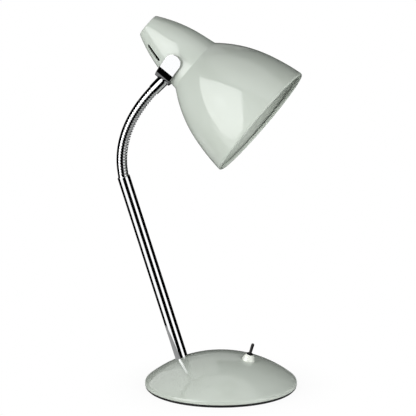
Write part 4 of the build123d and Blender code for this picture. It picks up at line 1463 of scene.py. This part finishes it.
@dataclass(frozen=True)
class Card:
    """Even card that only reflections show.

    Its rows run from the left to the right and follow one another downwards. Their points are
    directions: a bearing and a height each, as a window has.
    """

    name: str
    rows: tuple[tuple[Direction, ...], ...]
    strength: float
    distance: float

    @classmethod
    def over(cls, name: str, bearings: tuple[float, float], heights: tuple[float, float],
             strength: float, distance: float = CARD_DISTANCE) -> "Card":
        """Card over a window.

        Args:
            name: the card's name.
            bearings: its leftmost and rightmost bearing.
            heights: its lowest and highest height.
            strength: how brightly it glows.
            distance: from the lamp.

        Returns:
            The card.
        """
        (left, right), (low, high) = bearings, heights
        rows = (((left, high), (right, high)), ((left, low), (right, low)))
        return cls(name, rows, strength, distance)


@dataclass(frozen=True)
class GlowingCard(Card):
    """Card that is brighter round its core."""

    core: Direction
    core_strength: float
    core_radius: float


@dataclass
class Studio:
    """Camera, softboxes, cards, floor and surroundings."""

    camera_azimuth: float = 19.1
    camera_height: float = 15.9
    camera_distance: float = 20000.0
    frame_width: float = 416.0
    sensor: float = 36.0
    clip_metres: tuple[float, float] = (1.0, 100.0)
    aim_right: float = -13.0
    aim_up: float = 178.7
    middle: tuple[float, float, float] = (-40.0, 0.0, 230.0)
    softboxes: tuple[Window, ...] = (
        Window("key_softbox", (-81.0, -23.0), (-24.0, 44.0), 3.4),
        Window("fill_softbox", (29.0, 69.0), (-20.0, 40.0), 4.1),
        Window("back_softbox", (156.0, 204.0), (-8.0, 4.0), 8.0),
    )
    # Bright pane on the left, in front.
    key_card: GlowingCard = GlowingCard(
        "key_card",
        (((-83.0, 33.0), (-57.0, 48.0), (-23.0, 54.0)),
         ((-79.0, 20.0), (-55.0, 27.0), (-29.0, 31.0)),
         ((-74.0, 5.0), (-54.0, 10.0), (-33.0, 17.0)),
         ((-71.0, -6.0), (-55.0, -3.0), (-39.0, 3.0)),
         ((-67.0, -19.0), (-60.0, -18.5), (-51.0, -11.0))),
        strength=3.0, distance=7700.0, core=(-52.0, 22.0), core_strength=4.0, core_radius=1400.0)
    cards: tuple[Card, ...] = (
        # Lit floor on the left, in front.
        Card("left_floor",
             (((-75.0, -15.0), (-68.0, -18.0), (-56.0, -8.0), (-40.0, -4.0), (-25.0, -2.0)),
              ((-75.0, -28.0), (-68.0, -38.0), (-56.0, -38.0), (-40.0, -22.0), (-25.0, -17.0))),
             1.15, CARD_DISTANCE),
        # Dim floor on the left, behind.
        Card.over("strap_back", (-172.0, -120.0), (-54.0, -30.0), 0.2),
        # Wall on the right, and the dim floor under it.
        Card.over("right_wall", (30.0, 70.0), (-5.0, 34.0), 1.2),
        Card.over("right_floor", (24.0, 75.0), (-24.0, -7.0), 0.3),
        Card.over("right_ground", (24.0, 114.0), (-80.0, -24.0), 0.2),
        # Bright strip of floor on the right, behind.
        Card.over("rim_floor", (126.0, 150.0), (-44.0, -30.0), 2.6, distance=7800.0),
        # Wall behind the lamp, in grey steps.
        Card.over("back_horizon", (172.0, 200.0), (10.0, 22.0), 0.35),
        Card.over("back_middle", (172.0, 182.0), (22.0, 33.0), 0.45),
        Card.over("back_wall", (182.0, 200.0), (22.0, 56.0), 0.6),
        Card("back_left", (((200.0, 56.0), (225.0, 56.0), (250.0, 56.0)),
                           ((200.0, 12.0), (225.0, 16.0), (250.0, 28.0))), 0.9, CARD_DISTANCE),
        Card.over("ceiling", (-180.0, 180.0), (60.0, 90.0), 0.7),
        # Black cloth all round, behind every other card.
        Card.over("velvet", (-180.0, 180.0), (-90.0, 90.0), 0.0015, distance=8000.0),
    )
    card_points: int = 73
    softbox_distance: float = 1400.0
    ambient: float = 0.13
    floor_radius: float = 420.0
    floor_level: float = -0.15
    floor_shadow: float = 0.08
    shadow_reach: tuple[float, float] = (60.0, 130.0)
    table_radius: float = 170.0
    table_level: float = -0.3
    table_strength: float = 0.33
    disc_points: tuple[int, int] = (12, 65)

    def __post_init__(self) -> None:
        """Work out the camera's right, up and backward directions."""
        azimuth, height = math.radians(self.camera_azimuth), math.radians(self.camera_height)
        self.right = np.array([math.cos(azimuth), math.sin(azimuth), 0.0])
        self.back = np.array([math.sin(azimuth) * math.cos(height),
                              -math.cos(azimuth) * math.cos(height), math.sin(height)])
        self.up = np.cross(self.back, self.right)

    def towards(self, bearing: np.ndarray, height: np.ndarray) -> np.ndarray:
        """Unit vectors (cos b cos h, sin b cos h, sin h) at bearings b and heights h.

        Args:
            bearing: angles to the right of the camera's.
            height: angles above the level.

        Returns:
            The vectors, on the last axis.
        """
        turn = np.radians(self.camera_azimuth - 90 + bearing)
        rise = np.radians(height)
        return np.stack([np.cos(turn) * np.cos(rise), np.sin(turn) * np.cos(rise),
                         np.sin(rise) + 0 * turn], -1)

    @staticmethod
    def stand(item: bpy.types.Object, x: np.ndarray, y: np.ndarray, z: np.ndarray,
              place: np.ndarray) -> None:
        """Put an object into the scene.

        Args:
            item: the light or the camera, which looks against its z.
            x: its first direction.
            y: its second direction.
            z: its third direction.
            place: where it stands.
        """
        turn = np.eye(4)
        turn[:3, :3] = np.stack([x, y, z], -1)
        turn[:3, 3] = place * MM
        item.matrix_world = Matrix(turn.tolist())
        bpy.context.scene.collection.objects.link(item)

    def camera(self) -> None:
        """Make the camera, long-lensed and far off, for a view nearly without perspective."""
        data = bpy.data.cameras.new("camera")
        data.sensor_fit = "HORIZONTAL"
        data.sensor_width = self.sensor
        data.lens = self.sensor * self.camera_distance / self.frame_width
        data.clip_start, data.clip_end = self.clip_metres
        camera = bpy.data.objects.new("camera", data)
        place = (self.right * self.aim_right + self.up * self.aim_up
                 + self.back * self.camera_distance)
        self.stand(camera, self.right, self.up, self.back, place)
        bpy.context.scene.camera = camera

    def softbox(self, window: Window) -> None:
        """Rectangular light that fills a window and faces the lamp, hidden from reflections.

        Its power is strength times pi times its area.

        Args:
            window: the window.
        """
        (left, right), (low, high) = window.bearings, window.heights
        data = bpy.data.lights.new(window.name, "AREA")
        data.shape = "RECTANGLE"
        data.size, data.size_y = [
            2 * self.softbox_distance * MM * math.tan(math.radians(angle) / 2)
            for angle in (right - left, high - low)]
        data.energy = window.strength * math.pi * data.size * data.size_y
        lamp = bpy.data.objects.new(window.name, data)
        lamp.visible_glossy = False
        back = self.towards(np.array((left + right) / 2), np.array((low + high) / 2))
        across = np.cross([0, 0, 1], back)
        across /= np.linalg.norm(across)
        place = np.array(self.middle) + back * self.softbox_distance
        self.stand(lamp, across, np.cross(back, across), back, place)

    @staticmethod
    def bare_material(name: str) -> bpy.types.Material:
        """New material with an empty node tree.

        Args:
            name: the material's name.

        Returns:
            The material.
        """
        material = bpy.data.materials.new(name)
        material.use_nodes = True
        material.node_tree.nodes.clear()
        return material

    def cloth(self, name: str, strength: float | bpy.types.NodeSocket,
              material: bpy.types.Material | None = None) -> bpy.types.Material:
        """White material that glows.

        Args:
            name: the material's name.
            strength: how brightly, as a value or a socket of the material's own tree.
            material: the bare material that the socket is in, where there is one.

        Returns:
            The material.
        """
        material = material or self.bare_material(name)
        tree = material.node_tree
        glow = add_node(tree, "ShaderNodeEmission", {"Color": (1, 1, 1, 1), "Strength": strength})
        add_node(tree, "ShaderNodeOutputMaterial", {"Surface": glow.outputs["Emission"]})
        return material

    def glowing_cloth(self, name: str, card: GlowingCard) -> bpy.types.Material:
        """Cloth whose glow falls smoothly from the core's to the card's within the core's radius.

        Args:
            name: the material's name.
            card: the card.

        Returns:
            The material.
        """
        material = self.bare_material(name)
        tree = material.node_tree
        core = np.array(self.middle) + card.distance * self.towards(*np.array(card.core))
        place = add_node(tree, "ShaderNodeTexCoord").outputs["Object"]
        away = add_node(tree, "ShaderNodeVectorMath", {0: place, 1: (core * MM).tolist()},
                        operation="DISTANCE")
        glow = add_node(tree, "ShaderNodeMapRange",
                        {"Value": away.outputs["Value"],
                         "From Min": 0.0, "From Max": card.core_radius * MM,
                         "To Min": card.core_strength, "To Max": card.strength},
                        interpolation_type="SMOOTHSTEP")
        return self.cloth(name, glow.outputs["Result"], material)

    def hang(self, card: Card) -> None:
        """Make a card on a sphere: bearing and height run evenly between points of its rows.

        Args:
            card: the card.
        """
        rows = np.array(card.rows)
        down, across = [np.linspace(0, count - 1, self.card_points) for count in rows.shape[:2]]
        widened = np.stack([[np.interp(across, np.arange(rows.shape[1]), row[:, k])
                             for row in rows] for k in (0, 1)])
        bearing, height = np.stack([[np.interp(down, np.arange(rows.shape[0]), column)
                                     for column in layer.T]
                                    for layer in widened]).transpose(0, 2, 1)
        points = np.array(self.middle) + card.distance * self.towards(bearing, height)
        name = card.name + "_cloth"
        material = (self.glowing_cloth(name, card) if isinstance(card, GlowingCard)
                    else self.cloth(name, card.strength))
        self.surface(card.name, grid_patch(points, wrap_columns=False), material,
                     Seen.IN_REFLECTIONS)

    @staticmethod
    def surface(name: str, patch: Patch, material: bpy.types.Material, seen: Seen) -> None:
        """Make a studio surface, which isn't part of the lamp.

        Args:
            name: the object's name.
            patch: the surface.
            material: its material.
            seen: where it shows.
        """
        mesh = bpy.data.meshes.new(name)
        mesh.from_pydata((patch.points * MM).tolist(), [], patch.quads.tolist())
        mesh.materials.append(material)
        item = bpy.data.objects.new(name, mesh)
        bpy.context.scene.collection.objects.link(item)
        item.visible_glossy = seen is Seen.IN_REFLECTIONS
        if seen is Seen.IN_REFLECTIONS:
            item.visible_camera = False
            item.visible_diffuse = False
            item.visible_transmission = False
            item.visible_shadow = False
            item.visible_volume_scatter = False

    def disc(self, radius: float, height: float) -> Patch:
        """Level disc round the lamp's middle: (distance cos a, distance sin a, height).

        Args:
            radius: the disc's radius.
            height: its height.

        Returns:
            The disc.
        """
        rings, spokes = self.disc_points
        distance, angle = np.meshgrid(np.linspace(0, radius, rings),
                                      np.linspace(0, 2 * math.pi, spokes))
        points = np.stack([distance * np.cos(angle), distance * np.sin(angle),
                           height + 0 * distance], -1)
        return grid_patch(points, wrap_columns=False)

    def paper(self) -> bpy.types.Material:
        """White floor paper: burnt out for the camera, but for a part of the lamp's shadow.

        Returns:
            The material.
        """
        material = self.bare_material("white_paper")
        tree = material.node_tree
        place = add_node(tree, "ShaderNodeTexCoord").outputs["Object"]
        away = add_node(tree, "ShaderNodeVectorMath", {0: place}, operation="LENGTH")
        near, far = self.shadow_reach
        fade = add_node(tree, "ShaderNodeMapRange",
                        {"Value": away.outputs["Value"], "From Min": near * MM,
                         "From Max": far * MM, "To Min": self.floor_shadow, "To Max": 0.0},
                        interpolation_type="SMOOTHSTEP")
        path = add_node(tree, "ShaderNodeLightPath")
        share = add_node(tree, "ShaderNodeMix",
                         {"Factor": path.outputs["Is Camera Ray"], "A": 1.0,
                          "B": fade.outputs["Result"]}, data_type="FLOAT")
        white = add_node(tree, "ShaderNodeEmission", {"Color": (1, 1, 1, 1), "Strength": 1.0})
        sheet = add_node(tree, "ShaderNodeBsdfDiffuse", {"Color": linear("f6f6f4")})
        mixed = add_node(tree, "ShaderNodeMixShader",
                         {"Fac": share.outputs["Result"], 1: white.outputs[0],
                          2: sheet.outputs[0]})
        add_node(tree, "ShaderNodeOutputMaterial", {"Surface": mixed.outputs[0]})
        return material

    def world(self) -> None:
        """White surroundings for the camera, reflections and glass, and dim light for the rest."""
        world = bpy.data.worlds.new("studio_air")
        world.use_nodes = True
        bpy.context.scene.world = world
        tree = world.node_tree
        tree.nodes.clear()
        path = add_node(tree, "ShaderNodeLightPath")
        seen = add_node(tree, "ShaderNodeMath", {0: path.outputs["Is Camera Ray"],
                                                 1: path.outputs["Is Glossy Ray"]},
                        operation="ADD")
        seen = add_node(tree, "ShaderNodeMath", {0: seen.outputs[0],
                                                 1: path.outputs["Is Transmission Ray"]},
                        operation="ADD", use_clamp=True)
        strength = spread(tree, seen.outputs[0], (0.0, 1.0), (self.ambient, 1.0))
        sky = add_node(tree, "ShaderNodeBackground", {"Color": (1, 1, 1, 1), "Strength": strength})
        add_node(tree, "ShaderNodeOutputWorld", {"Surface": sky.outputs[0]})

    def build(self) -> None:
        """Set the studio up."""
        self.camera()
        self.world()
        for window in self.softboxes:
            self.softbox(window)
        for card in (self.key_card, *self.cards):
            self.hang(card)
        floor = self.disc(self.floor_radius, self.floor_level)
        self.surface("floor_paper", floor, self.paper(), Seen.OTHERWISE)
        table = self.disc(self.table_radius, self.table_level)
        self.surface("table_top", table, self.cloth("table_cloth", self.table_strength),
                     Seen.IN_REFLECTIONS)
        bpy.context.scene.view_settings.view_transform = "Standard"
        log.info("studio: %d softboxes, %d cards", len(self.softboxes), 1 + len(self.cards))


def main() -> None:
    """Build the lamp and the studio, and note how large the visual model is."""
    logging.basicConfig(level=logging.INFO, format="%(name)s %(message)s")
    dresser = Dresser()
    dresser.dress_nodes()
    base = Base()
    base.build(dresser)
    Switch(base).build(dresser)
    stem = Stem(base)
    stem.build(dresser)
    gooseneck = Gooseneck(stem)
    gooseneck.build(dresser)
    Yoke(gooseneck).build(dresser)
    Shade().build(dresser)
    Studio().build()


if __name__ == "__main__":
    main()
